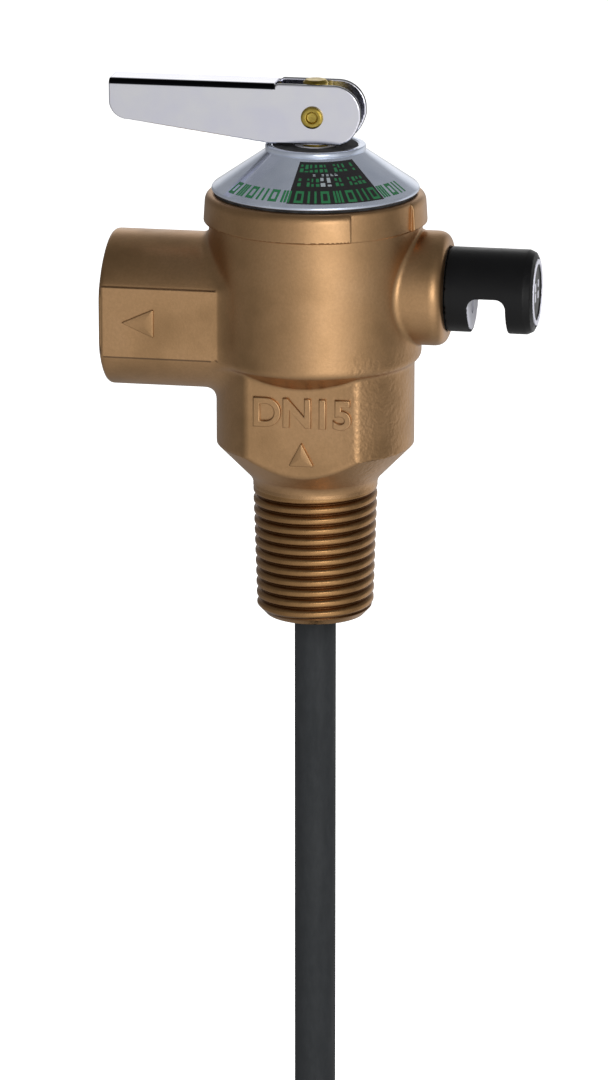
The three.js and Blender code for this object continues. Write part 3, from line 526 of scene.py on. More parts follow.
FORGED_BRASS = HotForgedBrass("hot_forged_brass_blasted", "#C59C71", 0.34, 1.0)
TURNED_BRASS = TurnedBrass("turned_brass", "#DCC264", 0.24, 1.0)
THREAD_BRASS = ThreadBrass("cut_brass_thread", "#B48A5C", 0.26, 1.0)
CHROME = BrightChrome("chrome_on_spun_cap", "#DDE5F5", 0.1, 0.8, shade="#CBD4E6")
LEVER_CHROME = PressedChrome("chrome_on_pressed_lever", "#F9F9FF", 0.13, 1.0, shade="#F2F2FF", peel_mm=0.002)
STEEL = DrawnSteel("drawn_stainless_steel", "#B4B5B8", 0.27, 1.0)
BLACK_NYLON = MouldedPlastic("moulded_black_nylon", "#080809", 0.36, ior=1.36)
PALE_NYLON = MouldedPlastic("moulded_pale_acetal", "#D9D9E4", 0.42, ior=1.48)
EPOXY_TUBE = EpoxyCoatedTube("dark_epoxy_on_copper_tube", "#292B2D", 0.7, ior=1.34)
RUBBER = NitrileRubber("moulded_nitrile_rubber", "#19191A", 0.75, ior=1.52)
LABEL_INK = PrintedInk("screen_printed_black_ink", "#1C1B1C", 0.38)
GREEN_INK = PrintedInk("screen_printed_green_ink", "#235E3B", 0.42)
GREY_INK = PrintedInk("screen_printed_grey_ink", "#858C90", 0.42)
PAPER = LitPaper("lit_white_paper", "#F4F4F4", 0.9)


@cache
def material_of(finish: Finish) -> bpy.types.Material:
    """The material of a finish, made once."""
    return finish.make()


# ---------------------------------------------------------------- surfaces


def link_object(name: str, data: bpy.types.ID) -> bpy.types.Object:
    """Makes an object of some data and links it to the scene.

    Args:
        name: The object's name.
        data: Its mesh, curve, light or camera.

    Returns:
        The new object.
    """
    made = bpy.data.objects.new(name, data)
    bpy.context.scene.collection.objects.link(made)
    return made


def put_mesh(
    name: str, points: np.ndarray, quads: np.ndarray, triangles: np.ndarray | None = None
) -> bpy.types.Object:
    """Makes a smooth-shaded object from whole arrays.

    Args:
        name: the piece's name.
        points: vertices in millimetres, one row each.
        quads: four vertex numbers a row.
        triangles: three vertex numbers a row, or None.

    Returns:
        The new object, linked to the scene.
    """
    triangles = np.zeros((0, 3), np.int64) if triangles is None else triangles
    mesh = bpy.data.meshes.new(name)
    mesh.vertices.add(len(points))
    mesh.vertices.foreach_set("co", (points * MM).astype(np.float32).ravel())
    corners = np.concatenate([quads.ravel(), triangles.ravel()]).astype(np.int32)
    mesh.loops.add(len(corners))
    mesh.loops.foreach_set("vertex_index", corners)
    starts = np.concatenate([np.arange(len(quads)) * 4, len(quads) * 4 + np.arange(len(triangles)) * 3])
    mesh.polygons.add(len(starts))
    mesh.polygons.foreach_set("loop_start", starts.astype(np.int32))
    mesh.update(calc_edges=True)
    mesh.shade_smooth()
    return link_object(name, mesh)


def grid_quads(rows: int, columns: int, wrap_rows: bool, wrap_columns: bool) -> np.ndarray:
    """Quads of a grid of points: each joins point (i, j) to (i+1, j), (i+1, j+1) and (i, j+1).

    Args:
        rows: points down the grid.
        columns: points across it.
        wrap_rows: whether the last row joins the first.
        wrap_columns: whether the last column joins the first.

    Returns:
        Four vertex numbers a row.
    """
    last_row, last_column = rows - (not wrap_rows), columns - (not wrap_columns)
    i, j = np.meshgrid(np.arange(last_row), np.arange(last_column), indexing="ij")
    below, beside = (i + 1) % rows, (j + 1) % columns
    cells = [i * columns + j, i * columns + beside, below * columns + beside, below * columns + j]
    return np.stack(cells, axis=-1).reshape(-1, 4)


def end_caps(columns: int, rows: int) -> np.ndarray:
    """Triangles from a grid's first and last rings to the two points that follow it.

    Args:
        columns: points in a ring.
        rows: rings in the grid.

    Returns:
        Three vertex numbers a row.
    """
    ring = np.arange(columns)
    beside = np.roll(ring, -1)
    first, last_ring = rows * columns, (rows - 1) * columns
    low = np.stack([np.full(columns, first), beside, ring], axis=-1)
    high = np.stack([np.full(columns, first + 1), last_ring + ring, last_ring + beside], axis=-1)
    return np.concatenate([low, high])


def rounded(profile: Sequence[Sequence[float]], radius: float, closed: bool) -> np.ndarray:
    """Rounds a profile's corners.

    Each becomes the curve (1-t)^2 a + 2t(1-t) corner + t^2 b, with a and b on its two sides.

    Args:
        profile: corner points.
        radius: the distance from the corner to where the curve starts.
        closed: whether the last point joins the first.

    Returns:
        The rounded outline.
    """
    p = np.asarray(profile, float)
    back, ahead = np.roll(p, 1, axis=0) - p, np.roll(p, -1, axis=0) - p
    reach = [np.minimum(radius, 0.45 * np.linalg.norm(side, axis=1)) for side in (back, ahead)]
    a, b = (
        p + side / np.maximum(np.linalg.norm(side, axis=1), 1e-9)[:, None] * cut[:, None]
        for side, cut in zip((back, ahead), reach)
    )
    t = np.linspace(0, 1, 5)[None, :, None]
    curves = (1 - t) ** 2 * a[:, None] + 2 * t * (1 - t) * p[:, None] + t**2 * b[:, None]
    if closed:
        return curves.reshape(-1, 2)
    return np.concatenate([p[:1], curves[1:-1].reshape(-1, 2), p[-1:]])


def subdivided(outline: np.ndarray, step: float, closed: bool) -> np.ndarray:
    """Adds points to an outline so that none are further apart than step, evenly along each side.

    Args:
        outline: Its corners, one to a row.
        step: The longest gap between two points.
        closed: Whether the last corner joins the first.

    Returns:
        The outline with the added points.
    """
    ends = np.roll(outline, -1, axis=0) if closed else outline[1:]
    starts = outline if closed else outline[:-1]
    counts = np.maximum(1, np.ceil(np.linalg.norm(ends - starts, axis=1) / step).astype(int))
    side = np.repeat(np.arange(len(counts)), counts)
    share = (np.arange(len(side)) - np.repeat(np.cumsum(counts) - counts, counts)) / counts[side]
    points = starts[side] + share[:, None] * (ends[side] - starts[side])
    return points if closed else np.concatenate([points, outline[-1:]])


class Axis(Enum):
    """Which way a turned piece's axis runs, as a matrix that turns +Z to it."""

    Z = ((1, 0, 0), (0, 1, 0), (0, 0, 1))
    X = ((0, 0, 1), (0, 1, 0), (-1, 0, 0))
    Y = ((1, 0, 0), (0, 0, 1), (0, -1, 0))

    def place(self, points: np.ndarray, centre: Sequence[float]) -> np.ndarray:
        """Turns points from +Z to this axis, and moves them to a centre."""
        return points @ np.array(self.value, float).T + np.array(centre)


@dataclass
class Turned:
    """A turned piece: a profile of radius and height carried round an axis.

    A point is (r cos u, r sin u, h), with u going once round. A profile that starts and ends on the axis
    closes at two poles; any other profile closes on itself.
    """

    name: str
    profile: Sequence[Sequence[float]]
    axis: Axis = Axis.Z
    centre: tuple[float, float, float] = (0.0, 0.0, 0.0)
    edge_mm: float = 0.15
    sides: int = 128
    step_mm: float = 1.2

    def build(self) -> bpy.types.Object:
        """Builds the mesh, with its faces pointing out.

        Returns:
            The new piece.
        """
        corners = np.asarray(self.profile, float)
        ahead = np.roll(corners, -1, axis=0)
        if (corners[:, 0] * ahead[:, 1] - ahead[:, 0] * corners[:, 1]).sum() < 0:
            corners = corners[::-1]
        on_axis = corners[0, 0] == 0 and corners[-1, 0] == 0
        outline = subdivided(rounded(corners, self.edge_mm, not on_axis), self.step_mm, not on_axis)
        u = np.arange(self.sides) * 2 * math.pi / self.sides
        body = outline[1:-1] if on_axis else outline
        r, h = body[:, :1], np.repeat(body[:, 1:], self.sides, axis=1)
        points = np.stack([r * np.cos(u), r * np.sin(u), h], axis=-1).reshape(-1, 3)
        quads = grid_quads(len(body), self.sides, not on_axis, True)
        triangles = None
        if on_axis:
            points = np.concatenate([points, [[0, 0, outline[0, 1]], [0, 0, outline[-1, 1]]]])
            triangles = end_caps(self.sides, len(body))
        return put_mesh(self.name, self.axis.place(points, self.centre), quads, triangles)


@dataclass
class Coil:
    """A round wire wound into a spring: a circle carried along a helix about an axis."""

    name: str
    radius: float
    wire: float
    low: float
    high: float
    turns: float
    axis: Axis = Axis.Z
    centre: tuple[float, float, float] = (0.0, 0.0, 0.0)
    closed_turns: float = 0.75
    closed_rise: float = 0.06  # how fast the end turns rise, next to the turns between them
    sides: int = 14
    steps_per_turn: int = 64

    def build(self) -> bpy.types.Object:
        """Builds the spring. Height rises slowly over the closed end turns and evenly between them.

        The centre line is (R cos a, R sin a, h(a)); the wire's circle lies across its direction.

        Returns:
            The new piece.
        """
        steps = int(self.turns * self.steps_per_turn)
        s = np.linspace(0, self.turns, steps)
        rise = np.clip((s - self.closed_turns) / (self.turns - 2 * self.closed_turns), 0, 1)
        at_ends = np.minimum(s, self.closed_turns) + np.clip(s - self.turns + self.closed_turns, 0, None)
        slow = self.closed_rise * at_ends
        h = self.low + self.wire / 2 + (self.high - self.low - self.wire) * (rise + slow) / (1 + slow[-1])
        a = 2 * math.pi * s
        line = np.stack([self.radius * np.cos(a), self.radius * np.sin(a), h], axis=-1)
        along = np.gradient(line, axis=0)
        along /= np.linalg.norm(along, axis=1)[:, None]
        outward = np.stack([np.cos(a), np.sin(a), np.zeros(steps)], axis=-1)
        across = np.cross(along, outward)
        v = np.arange(self.sides) * 2 * math.pi / self.sides
        circle = outward[:, None] * np.cos(v)[None, :, None] + across[:, None] * np.sin(v)[None, :, None]
        points = (line[:, None] + circle * self.wire / 2).reshape(-1, 3)
        points = self.axis.place(np.concatenate([points, line[:1], line[-1:]]), self.centre)
        quads = grid_quads(steps, self.sides, False, True)
        return put_mesh(self.name, points, quads[:, ::-1], end_caps(self.sides, steps)[:, ::-1])


# ---------------------------------------------------------------- solids as distance fields


def ring_profile(inner: float, outer: float, low: float, high: float) -> list[list[float]]:
    """The profile of a plain ring between two radii and two heights."""
    return [[inner, low], [outer, low], [outer, high], [inner, high]]


def triangle_wave(turns: np.ndarray) -> np.ndarray:
    """A wave that falls from 1 to 0 and rises back once in each turn."""
    return np.abs(2 * np.mod(turns, 1) - 1)


def corner_distance(a: np.ndarray, b: np.ndarray) -> np.ndarray:
    """Distance to where both a and b are negative, with a round corner between them."""
    return np.hypot(np.clip(a, 0, None), np.clip(b, 0, None)) + np.minimum(np.maximum(a, b), 0)


def smooth_union(a: np.ndarray, b: np.ndarray, fillet: float) -> np.ndarray:
    """The nearer of two distances, lowered by h^2 fillet/4 within fillet of both: a filleted join."""
    h = np.clip(fillet - np.abs(a - b), 0, None) / fillet
    return np.minimum(a, b) - h * h * fillet / 4


def smooth_cut(a: np.ndarray, b: np.ndarray, edge: float) -> np.ndarray:
    """What a and b share, with a rounded edge: the union rule turned inside out."""
    return -smooth_union(-a, -b, edge)


def polygon_distance(x: np.ndarray, y: np.ndarray, corners: Sequence[Sequence[float]]) -> np.ndarray:
    """Distance to a closed outline, negative inside.

    It is the least |p - (a + t (b - a))| over the sides, t clipped to 0..1, and its sign changes each
    time a ray to the right of the point crosses a side.

    Args:
        x: first coordinate of each point.
        y: second coordinate of each point.
        corners: the outline's corners.

    Returns:
        One distance a point.
    """
    nearest = np.full(x.shape, np.inf)
    inside = np.zeros(x.shape, bool)
    ring = list(zip(corners, [*corners[1:], corners[0]]))
    for (ax, ay), (bx, by) in ring:
        ex, ey = bx - ax, by - ay
        t = np.clip(((x - ax) * ex + (y - ay) * ey) / max(ex * ex + ey * ey, 1e-12), 0, 1)
        nearest = np.minimum(nearest, (x - ax - t * ex) ** 2 + (y - ay - t * ey) ** 2)
        if ay != by:
            crosses = ((y >= ay) != (y >= by)) & (x < ax + (y - ay) * ex / ey)
            inside ^= crosses
    return np.where(inside, -1.0, 1.0) * np.sqrt(nearest)


def turned_field(profile: Sequence[Sequence[float]], r: np.ndarray, h: np.ndarray) -> np.ndarray:
    """Distance to a turned solid, from each point's radius and height. The profile runs past the axis."""
    ends = [[-FAR, profile[0][1]], *profile, [-FAR, profile[-1][1]]]
    return polygon_distance(r, h, ends)


@dataclass
class Casting:
    """A solid with filleted joins, given as a distance field and turned into quads.

    Each grid cell that the surface passes through gets one vertex, at the mean of the points where the
    field changes sign along the cell's edges. Each grid edge with a change of sign joins the four cells
    round it. The vertices are then moved by -f grad f / |grad f|^2, which puts them on the surface.
    """

    name: str
    field: Field
    low: Sequence[float]
    high: Sequence[float]
    cell: float

    def build(self) -> bpy.types.Object:
        """Builds the mesh.

        Returns:
            The new piece.
        """
        low = np.array(self.low)
        counts = np.ceil((np.array(self.high) - low) / self.cell).astype(int) + 1
        lines = [low[k] + np.arange(counts[k]) * self.cell for k in range(3)]
        values = self.field(np.stack(np.meshgrid(*lines, indexing="ij"), axis=-1))
        inside = values < 0
        cells = counts - 1
        total = np.zeros((*cells, 3), np.float32)
        hits = np.zeros(cells, np.float32)
        for axis in range(3):
            here = [slice(None)] * 3
            there = [slice(None)] * 3
            here[axis], there[axis] = slice(0, -1), slice(1, None)
            f0, f1 = values[tuple(here)], values[tuple(there)]
            change = inside[tuple(here)] != inside[tuple(there)]
            share = np.where(change, f0 / np.where(change, f0 - f1, 1), 0)
            others = [k for k in range(3) if k != axis]
            for du in (0, 1):
                for dv in (0, 1):
                    part = [slice(None)] * 3
                    part[others[0]] = slice(du, du + cells[others[0]])
                    part[others[1]] = slice(dv, dv + cells[others[1]])
                    hit = change[tuple(part)]
                    hits += hit
                    total[..., axis] += np.where(hit, share[tuple(part)], 0)
                    total[..., others[0]] += hit * du
                    total[..., others[1]] += hit * dv
        used = hits > 0
        number = np.full(cells, -1, np.int64)
        number[used] = np.arange(used.sum())
        where = np.argwhere(used)
        points = low + (where + total[used] / hits[used][:, None]) * self.cell
        quads = []
        for axis in range(3):
            u, v = (axis + 1) % 3, (axis + 2) % 3
            here = [slice(1, -1)] * 3
            here[axis] = slice(0, -1)
            there = list(here)
            there[axis] = slice(1, None)
            a, b = inside[tuple(here)], inside[tuple(there)]
            edges = np.argwhere(a != b) + np.array([0 if k == axis else 1 for k in range(3)])
            leaves = a[a != b]
            step_u, step_v = np.eye(3, dtype=int)[u], np.eye(3, dtype=int)[v]
            around = [edges - step_u - step_v, edges - step_v, edges, edges - step_u]
            quad = np.stack([number[c[:, 0], c[:, 1], c[:, 2]] for c in around], axis=-1)
            quads.append(np.where(leaves[:, None], quad, quad[:, ::-1]))
        for _ in range(3):
            points = self.settle(points)
        piece = put_mesh(self.name, points, np.concatenate(quads))
        slope = self.slope(points, self.field(points))
        normals = slope / np.maximum(np.linalg.norm(slope, axis=1), 1e-9)[:, None]
        piece.data.normals_split_custom_set_from_vertices(normals.tolist())
        return piece

    def slope(self, points: np.ndarray, f: np.ndarray) -> np.ndarray:
        """The field's gradient at points where its value is f, which is the way out of the solid."""
        step = 0.02
        return np.stack([self.field(points + step * e) - f for e in np.eye(3)], axis=-1) / step

    def settle(self, points: np.ndarray) -> np.ndarray:
        """Moves points onto the surface, by at most half a cell.

        Args:
            points: Points near the surface, one to a row.

        Returns:
            The same points on the surface.
        """
        f = self.field(points)
        slope = self.slope(points, f)
        move = -(f / np.maximum((slope**2).sum(axis=1), 0.25))[:, None] * slope
        length = np.linalg.norm(move, axis=1)[:, None]
        return points + move * np.minimum(1, 0.5 * self.cell / np.maximum(length, 1e-9))


# ---------------------------------------------------------------- dressing


def dress(piece: bpy.types.Object, finish: Finish, body: Body, slot: Slot, *nodes: str) -> bpy.types.Object:
    """Gives a piece its finish and its body, and hides the CAD nodes it stands for.

    Args:
        piece: the finished piece, in place.
        finish: how its surface looks.
        body: the rigid body it moves with.
        slot: the record's material slot; not used.
        nodes: CAD nodes that it stands for.

    Returns:
        The same piece.
    """
    piece.data.materials.append(material_of(finish))
    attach(piece, body.value)
    if nodes:
        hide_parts(*nodes)
    log.info("%s: %d faces, on %s", piece.name, len(piece.data.polygons), body.value)
    return piece


def box_mm(node: str) -> tuple[list[float], list[float]]:
    """A CAD node's lowest and highest corners in millimetres."""
    low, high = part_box(node)
    return (np.array(low) / MM).tolist(), (np.array(high) / MM).tolist()


# ---------------------------------------------------------------- the valve's sub-assemblies


@dataclass
class ValveCasing:
    """The forged casing: lower body with wrench flats, barrel, collar, outlet port and vent boss."""

    neck_r: float = 10.43
    body_r: float = 16.57
    body_flat: float = 13.63
    foot_r: float = 7.0
    foot_z: float = 20.08
    shoulder_z: float = 29.9
    neck_top: float = 30.0
    body_top: float = 46.5
    barrel_r: float = 17.72
    barrel_foot: float = 40.0
    undercut_r: float = 12.5  # a point on the cone under the barrel, which leans out as it rises
    undercut_z: float = 41.2
    undercut_lean: Point = (0.580, 0.814)
    collar_r: float = 18.6
    collar_z: float = 67.2
    collar_taper: float = 0.4
    collar_lap: float = 1.2  # how far the barrel runs up inside the collar
    recess_from: float = math.radians(28.8)
    recess_to: float = math.radians(71.7)
    recess_skin: float = 0.12  # how far the recess's floor stands proud of the barrel
    port_r: float = 13.03
    port_flat: float = 11.62
    port_fillet: float = 2.0
    port_drop: float = 5.3  # from the vent's axis down to the port's
    pad: float = 0.24  # how far each flat of the port stands proud of the cylinder
    pad_half: float = 5.95
    boss_r: float = 9.55
    boss_round: float = 2.3
    boss_fillet: float = 0.7
    seat_r: float = 6.0
    chamber_r: float = 13.82
    pocket_r: float = 16.75
    outlet_r: float = 9.3
    outlet_depth: float = 14.5
    passage_r: float = 7.3
    vent_seat_r: float = 5.7
    vent_mouth_r: float = 6.85
    vent_hole_r: float = 2.2
    inlet_r: float = 7.2
    thread_pitch: float = 1.814
    thread_depth: float = 0.7
    thread_shift: float = 0.68
    thread_end: float = 22.2
    taper_top: float = 20.5  # the plain neck ends here
    taper_run: float = 32.0  # a taper thread loses 1 mm of radius in this length
    crest_share: float = 0.8  # of the wave's height, where a crest is at its full radius
    crest_power: float = 1.8
    join_z: float = 22.4
    flat_edge: float = 0.4
    neck_fillet: float = 0.8
    undercut_edge: float = 0.7
    barrel_fillet: float = 0.5
    collar_edge: float = 1.5
    recess_edge: float = 0.25
    port_edge: float = 1.0
    port_flat_edge: float = 0.3
    pad_start: float = 0.35  # from the port's face to the pads
    pad_edge: float = 0.15
    pad_end_edge: float = 0.4
    mouth_edge: float = 0.3
    cell: float = 0.415
    collar_cell: float = 0.26

    def __post_init__(self) -> None:
        """Reads the port's reach, the collar's top and the axes of port and vent from the CAD frame."""
        low, high = box_mm("valve_body")
        self.port_x, self.boss_x, self.top_z = low[0], high[0], high[2]
        low, high = box_mm("vent_nozzle")
        self.vent_z = (low[2] + high[2]) / 2
        self.port_z = self.vent_z - self.port_drop

    def outside(self, p: np.ndarray) -> np.ndarray:
        """The casing's outer shape below the collar as a distance field, before its hollows are cut.

        Args:
            p: Points, one to a row.

        Returns:
            The distance at each point, below zero inside.
        """
        x, y, z = p[..., 0], p[..., 1], p[..., 2]
        r = np.hypot(x, y)
        foot = [[self.foot_r, self.foot_z], [self.body_r, self.shoulder_z], [self.body_r, self.body_top]]
        body = smooth_cut(turned_field(foot, r, z), np.abs(y) - self.body_flat, self.flat_edge)
        neck = np.maximum(r - self.neck_r, z - self.neck_top)
        body = smooth_union(body, neck, self.neck_fillet)
        body = np.maximum(body, self.join_z - z)
        drum = [[self.barrel_r, self.barrel_foot], [self.barrel_r, self.collar_z + self.collar_lap]]
        lean_r, lean_z = self.undercut_lean
        undercut = (r - self.undercut_r) * lean_r - (z - self.undercut_z) * lean_z
        barrel = smooth_cut(turned_field(drum, r, z), undercut, self.undercut_edge)
        shape = smooth_union(body, barrel, self.barrel_fillet)
        above = z - self.port_z
        port = smooth_cut(np.hypot(y, above) - self.port_r, self.port_x - x, self.port_edge)
        port = smooth_cut(port, np.abs(y) - self.port_flat, self.port_flat_edge)
        shape = smooth_union(shape, np.maximum(port, x), self.port_fillet)
        face = np.abs(y) - self.port_flat - self.pad
        across = smooth_cut(face, np.abs(above) - self.pad_half, self.pad_edge)
        pads = smooth_cut(np.maximum(across, x), self.port_x + self.pad_start - x, self.pad_end_edge)
        shape = np.minimum(shape, pads)
        boss = smooth_cut(np.hypot(y, z - self.vent_z) - self.boss_r, x - self.boss_x, self.boss_round)
        return smooth_union(shape, np.maximum(boss, -x), self.boss_fillet)

    def collar(self, p: np.ndarray) -> np.ndarray:
        """The collar round the barrel's top: its rounded top edge, and the recess beside the vent.

        Args:
            p: Points, one to a row.

        Returns:
            The distance at each point, below zero inside.
        """
        x, y, z = p[..., 0], p[..., 1], p[..., 2]
        r = np.hypot(x, y)
        low, top, barrel = self.collar_z, self.top_z, self.barrel_r
        ring = [[barrel - 0.5, low], [barrel, low + 0.25], [self.collar_r, low + 0.6]]
        ring += [[self.collar_r - self.collar_taper, top + self.collar_edge]]
        shape = smooth_cut(turned_field(ring, r, z), z - top, self.collar_edge)
        start = -(x * math.cos(self.recess_from) + y * math.sin(self.recess_from))
        end = x * math.cos(self.recess_to) + y * math.sin(self.recess_to)
        recess = np.maximum(np.maximum(start, end), barrel + self.recess_skin - r)
        return smooth_cut(shape, -recess, self.recess_edge)

    def hollows(self, p: np.ndarray) -> np.ndarray:
        """The chamber, seat bore, cap pocket, outlet bore with its thread, and vent pocket as one field.

        The outlet thread is a triangle wave along its axis, shifted by the angle round it over a turn.

        Args:
            p: Points, one to a row.

        Returns:
            The distance at each point, below zero inside.
        """
        x, y, z = p[..., 0], p[..., 1], p[..., 2]
        top, pocket = self.top_z, self.pocket_r
        well = [[self.seat_r, self.join_z - 2], [self.seat_r, 36.0], [7.6, 36.0], [7.9, 34.5], [10.8, 34.5]]
        well += [[10.8, 45.6], [self.chamber_r, 45.6], [self.chamber_r, 69.6], [pocket, 69.6]]
        well += [[pocket, top - 0.8], [pocket - 0.8, top - 0.8], [pocket - 0.8, top + 3]]
        around = np.hypot(y, z - self.port_z)
        inward = x - self.port_x
        turn = np.arctan2(z - self.port_z, y) / (2 * math.pi)
        wave = triangle_wave(inward / self.thread_pitch - turn)
        lead = np.clip(1.2 - inward, 0, None)
        fade = np.clip((self.port_x + self.outlet_depth - 1 - x) / 2, 0, 1)
        bore = around - (self.outlet_r + (wave - 0.5) * fade + lead)
        bore = np.maximum(bore, x - (self.port_x + self.outlet_depth)) * 0.85
        vent = np.hypot(y, z - self.vent_z)
        return np.minimum.reduce(
            [
                turned_field(well, np.hypot(x, y), z),
                bore,
                np.maximum(around - self.passage_r, x),
                np.maximum(vent - self.vent_seat_r, self.boss_x - 7.4 - x),
                np.maximum(vent - self.vent_mouth_r, self.boss_x - 1.2 - x),
                np.maximum(vent - self.vent_hole_r, -x),
            ]
        )

    def cast(
        self, name: str, shape: Field, low: Sequence[float], high: Sequence[float], cell: float
    ) -> bpy.types.Object:
        """Builds one part of the casing with its hollows cut out.

        Args:
            name: the piece's name.
            shape: its outer shape.
            low: the lowest corner of its box.
            high: the highest corner of its box.
            cell: the size of a grid cell.

        Returns:
            The piece, without a body yet.
        """

        def field(p: np.ndarray) -> np.ndarray:
            """The part without its hollows."""
            return smooth_cut(shape(p), -self.hollows(p), self.mouth_edge)

        room = 1.4
        return Casting(name, field, [v - room for v in low], [v + room for v in high], cell).build()

    def build(self) -> None:
        """Builds the casing, its collar and its inlet thread."""
        r = self.collar_r
        low, high = (self.port_x, -r, self.join_z), (self.boss_x, r, self.collar_z + self.collar_lap)
        casting = self.cast("forged_casing", self.outside, low, high, self.cell)
        dress(casting, FORGED_BRASS, Body.CASING, Slot.CAST_BRASS, "valve_body")
        low, high = (-r, -r, self.collar_z), (r, r, self.top_z)
        collar = self.cast("casing_collar", self.collar, low, high, self.collar_cell)
        dress(collar, FORGED_BRASS, Body.CASING, Slot.CAST_BRASS)
        dress(self.inlet_thread(), THREAD_BRASS, Body.CASING, Slot.CAST_BRASS)

    def inlet_thread(self) -> bpy.types.Object:
        """Builds the taper pipe thread as one closed grid.

        The outer radius is the taper's radius less the thread's depth times (1 - crest). With w the triangle
        wave of z over the pitch less the angle over a turn, crest is 1 - (1 - w / share)^power: broad round
        crests and narrow roots. The grid then turns in at the bottom and back up the bore.

        Returns:
            The thread piece.
        """
        sides, rows = 160, 260
        u = np.arange(sides) * 2 * math.pi / sides
        top_z = self.join_z + 0.8
        z = np.linspace(top_z, 0, rows)[:, None]
        wave = triangle_wave((z - self.thread_shift) / self.thread_pitch - u[None] / (2 * math.pi))
        crest = 1 - (1 - np.clip(wave / self.crest_share, 0, 1)) ** self.crest_power
        run_out = np.clip((self.thread_end - z) / 0.6, 0, 1)
        taper = self.neck_r - np.clip(self.taper_top - z, 0, None) / self.taper_run
        lead = np.clip(1.6 - z, 0, None) * 0.9
        outer = taper - self.thread_depth * (1 - crest) * run_out
        skin = 0.03 * (z > self.thread_end + 0.1)  # covers the casing's own neck
        radius = np.minimum(outer, taper - lead) + skin
        mouth = [[8.3, 0.0], [7.9, 0.0], [7.4, 0.06]]
        bore = np.array(mouth + [[self.inlet_r, h] for h in (0.3, 6.0, 12.0, 18.0, top_z)])
        all_r = np.concatenate([radius, np.repeat(bore[:, :1], sides, axis=1)])
        all_z = np.repeat(np.concatenate([z, bore[:, 1:]]), sides, axis=1)
        points = np.stack([all_r * np.cos(u), all_r * np.sin(u), all_z], axis=-1)
        quads = grid_quads(len(all_r), sides, True, True)
        piece = put_mesh("inlet_thread", points.reshape(-1, 3), quads[:, ::-1])
        on_neck = z > self.thread_end + 0.05
        # the crest attribute also carries the painted shade of the thread's roots and flanks
        shade = np.where(on_neck, 1.0, CREST_SHADE * (1 - (1 - crest) * run_out))
        shade = np.concatenate([shade, np.full((len(bore), sides), 0.35)])
        layer = piece.data.attributes.new("crest", "FLOAT", "POINT")
        layer.data.foreach_set("value", shade.astype(np.float32).ravel())
        return piece


@dataclass
class CastMarks:
    """Raised marks on the casing: flow arrows and a pipe-size mark, standing a little proud."""

    height: float = 0.55
    bevel: float = 0.2
    size: str = "DN15"
    size_height: float = 4.7

    def arrow(self, name: str, corners: Sequence[Point], face_y: float) -> bpy.types.Object:
        """Builds a raised triangle on a face that looks to -Y.

        The grid carries the outline from the face out to its full height, then in to its middle.

        Args:
            name: the piece's name.
            corners: the triangle's corners, in x and z.
            face_y: the face's distance from the axis.

        Returns:
            The mark.
        """
        outline = rounded(corners, 0.35, True)
        middle = outline.mean(axis=0)
        area = (outline[:, 0] * np.roll(outline[:, 1], -1) - np.roll(outline[:, 0], -1) * outline[:, 1]).sum()
        outline = outline if area > 0 else outline[::-1]
        share = np.array([1.0, 1.0, 0.96, 0.88])[:, None, None]
        out = np.array([-0.3, self.height - 0.12, self.height - 0.03, self.height])
        ring = middle + (outline - middle)[None] * share
        y = np.repeat((-face_y - out)[:, None], len(outline), axis=1)
        points = np.stack([ring[..., 0], y, ring[..., 1]], axis=-1).reshape(-1, 3)
        count = len(outline)
        quads = grid_quads(len(out), count, False, True)
        tips = [[middle[0], -face_y - depth, middle[1]] for depth in (out[0], out[-1])]
        return put_mesh(name, np.concatenate([points, tips]), quads, end_caps(count, len(out)))

    def size_mark(self, centre: Point, face_y: float) -> bpy.types.Object:
        """Builds the pipe size as raised figures on the front wrench flat.

        Args:
            centre: their middle, in x and z.
            face_y: the flat's distance from the axis.

        Returns:
            The mark as a mesh.
        """
        curve = bpy.data.curves.new("size_mark", "FONT")
        curve.body = self.size
        curve.align_x, curve.align_y = "CENTER", "CENTER"
        curve.size = self.size_height * 1.42 * MM  # a capital letter takes up 1 / 1.42 of the font's size
        curve.offset = 0.06 * MM
        curve.extrude = (self.height - self.bevel) * MM
        curve.bevel_depth, curve.bevel_resolution = self.bevel * MM, 2
        drawn = link_object("size_mark_curve", curve)
        bpy.context.view_layer.update()
        mesh = bpy.data.meshes.new_from_object(drawn.evaluated_get(bpy.context.evaluated_depsgraph_get()))
        bpy.data.objects.remove(drawn)
        upright = Matrix.Translation(Vector((centre[0] * MM, (-face_y + 0.08) * MM, centre[1] * MM)))
        mesh.transform(upright @ Matrix.Rotation(math.pi / 2, 4, "X"))
        mesh.name = "size_mark"
        return link_object("size_mark", mesh)

    def build(self, casing: ValveCasing) -> None:
        """Builds the port's arrow, the inlet's arrow and the size mark.

        Args:
            casing: The casing that the marks stand on.
        """
        z = casing.port_z
        port = self.arrow("outlet_arrow", [(-30.6, z), (-25.1, z - 2.4), (-25.1, z + 2.5)], casing.port_flat)
        inlet = self.arrow("inlet_arrow", [(0.1, 33.0), (-2.0, 28.95), (2.25, 28.95)], casing.body_flat)
        mark = self.size_mark((0.2, 37.7), casing.body_flat)
        for piece in (port, inlet, mark):
            dress(piece, FORGED_BRASS, Body.CASING, Slot.CAST_BRASS)


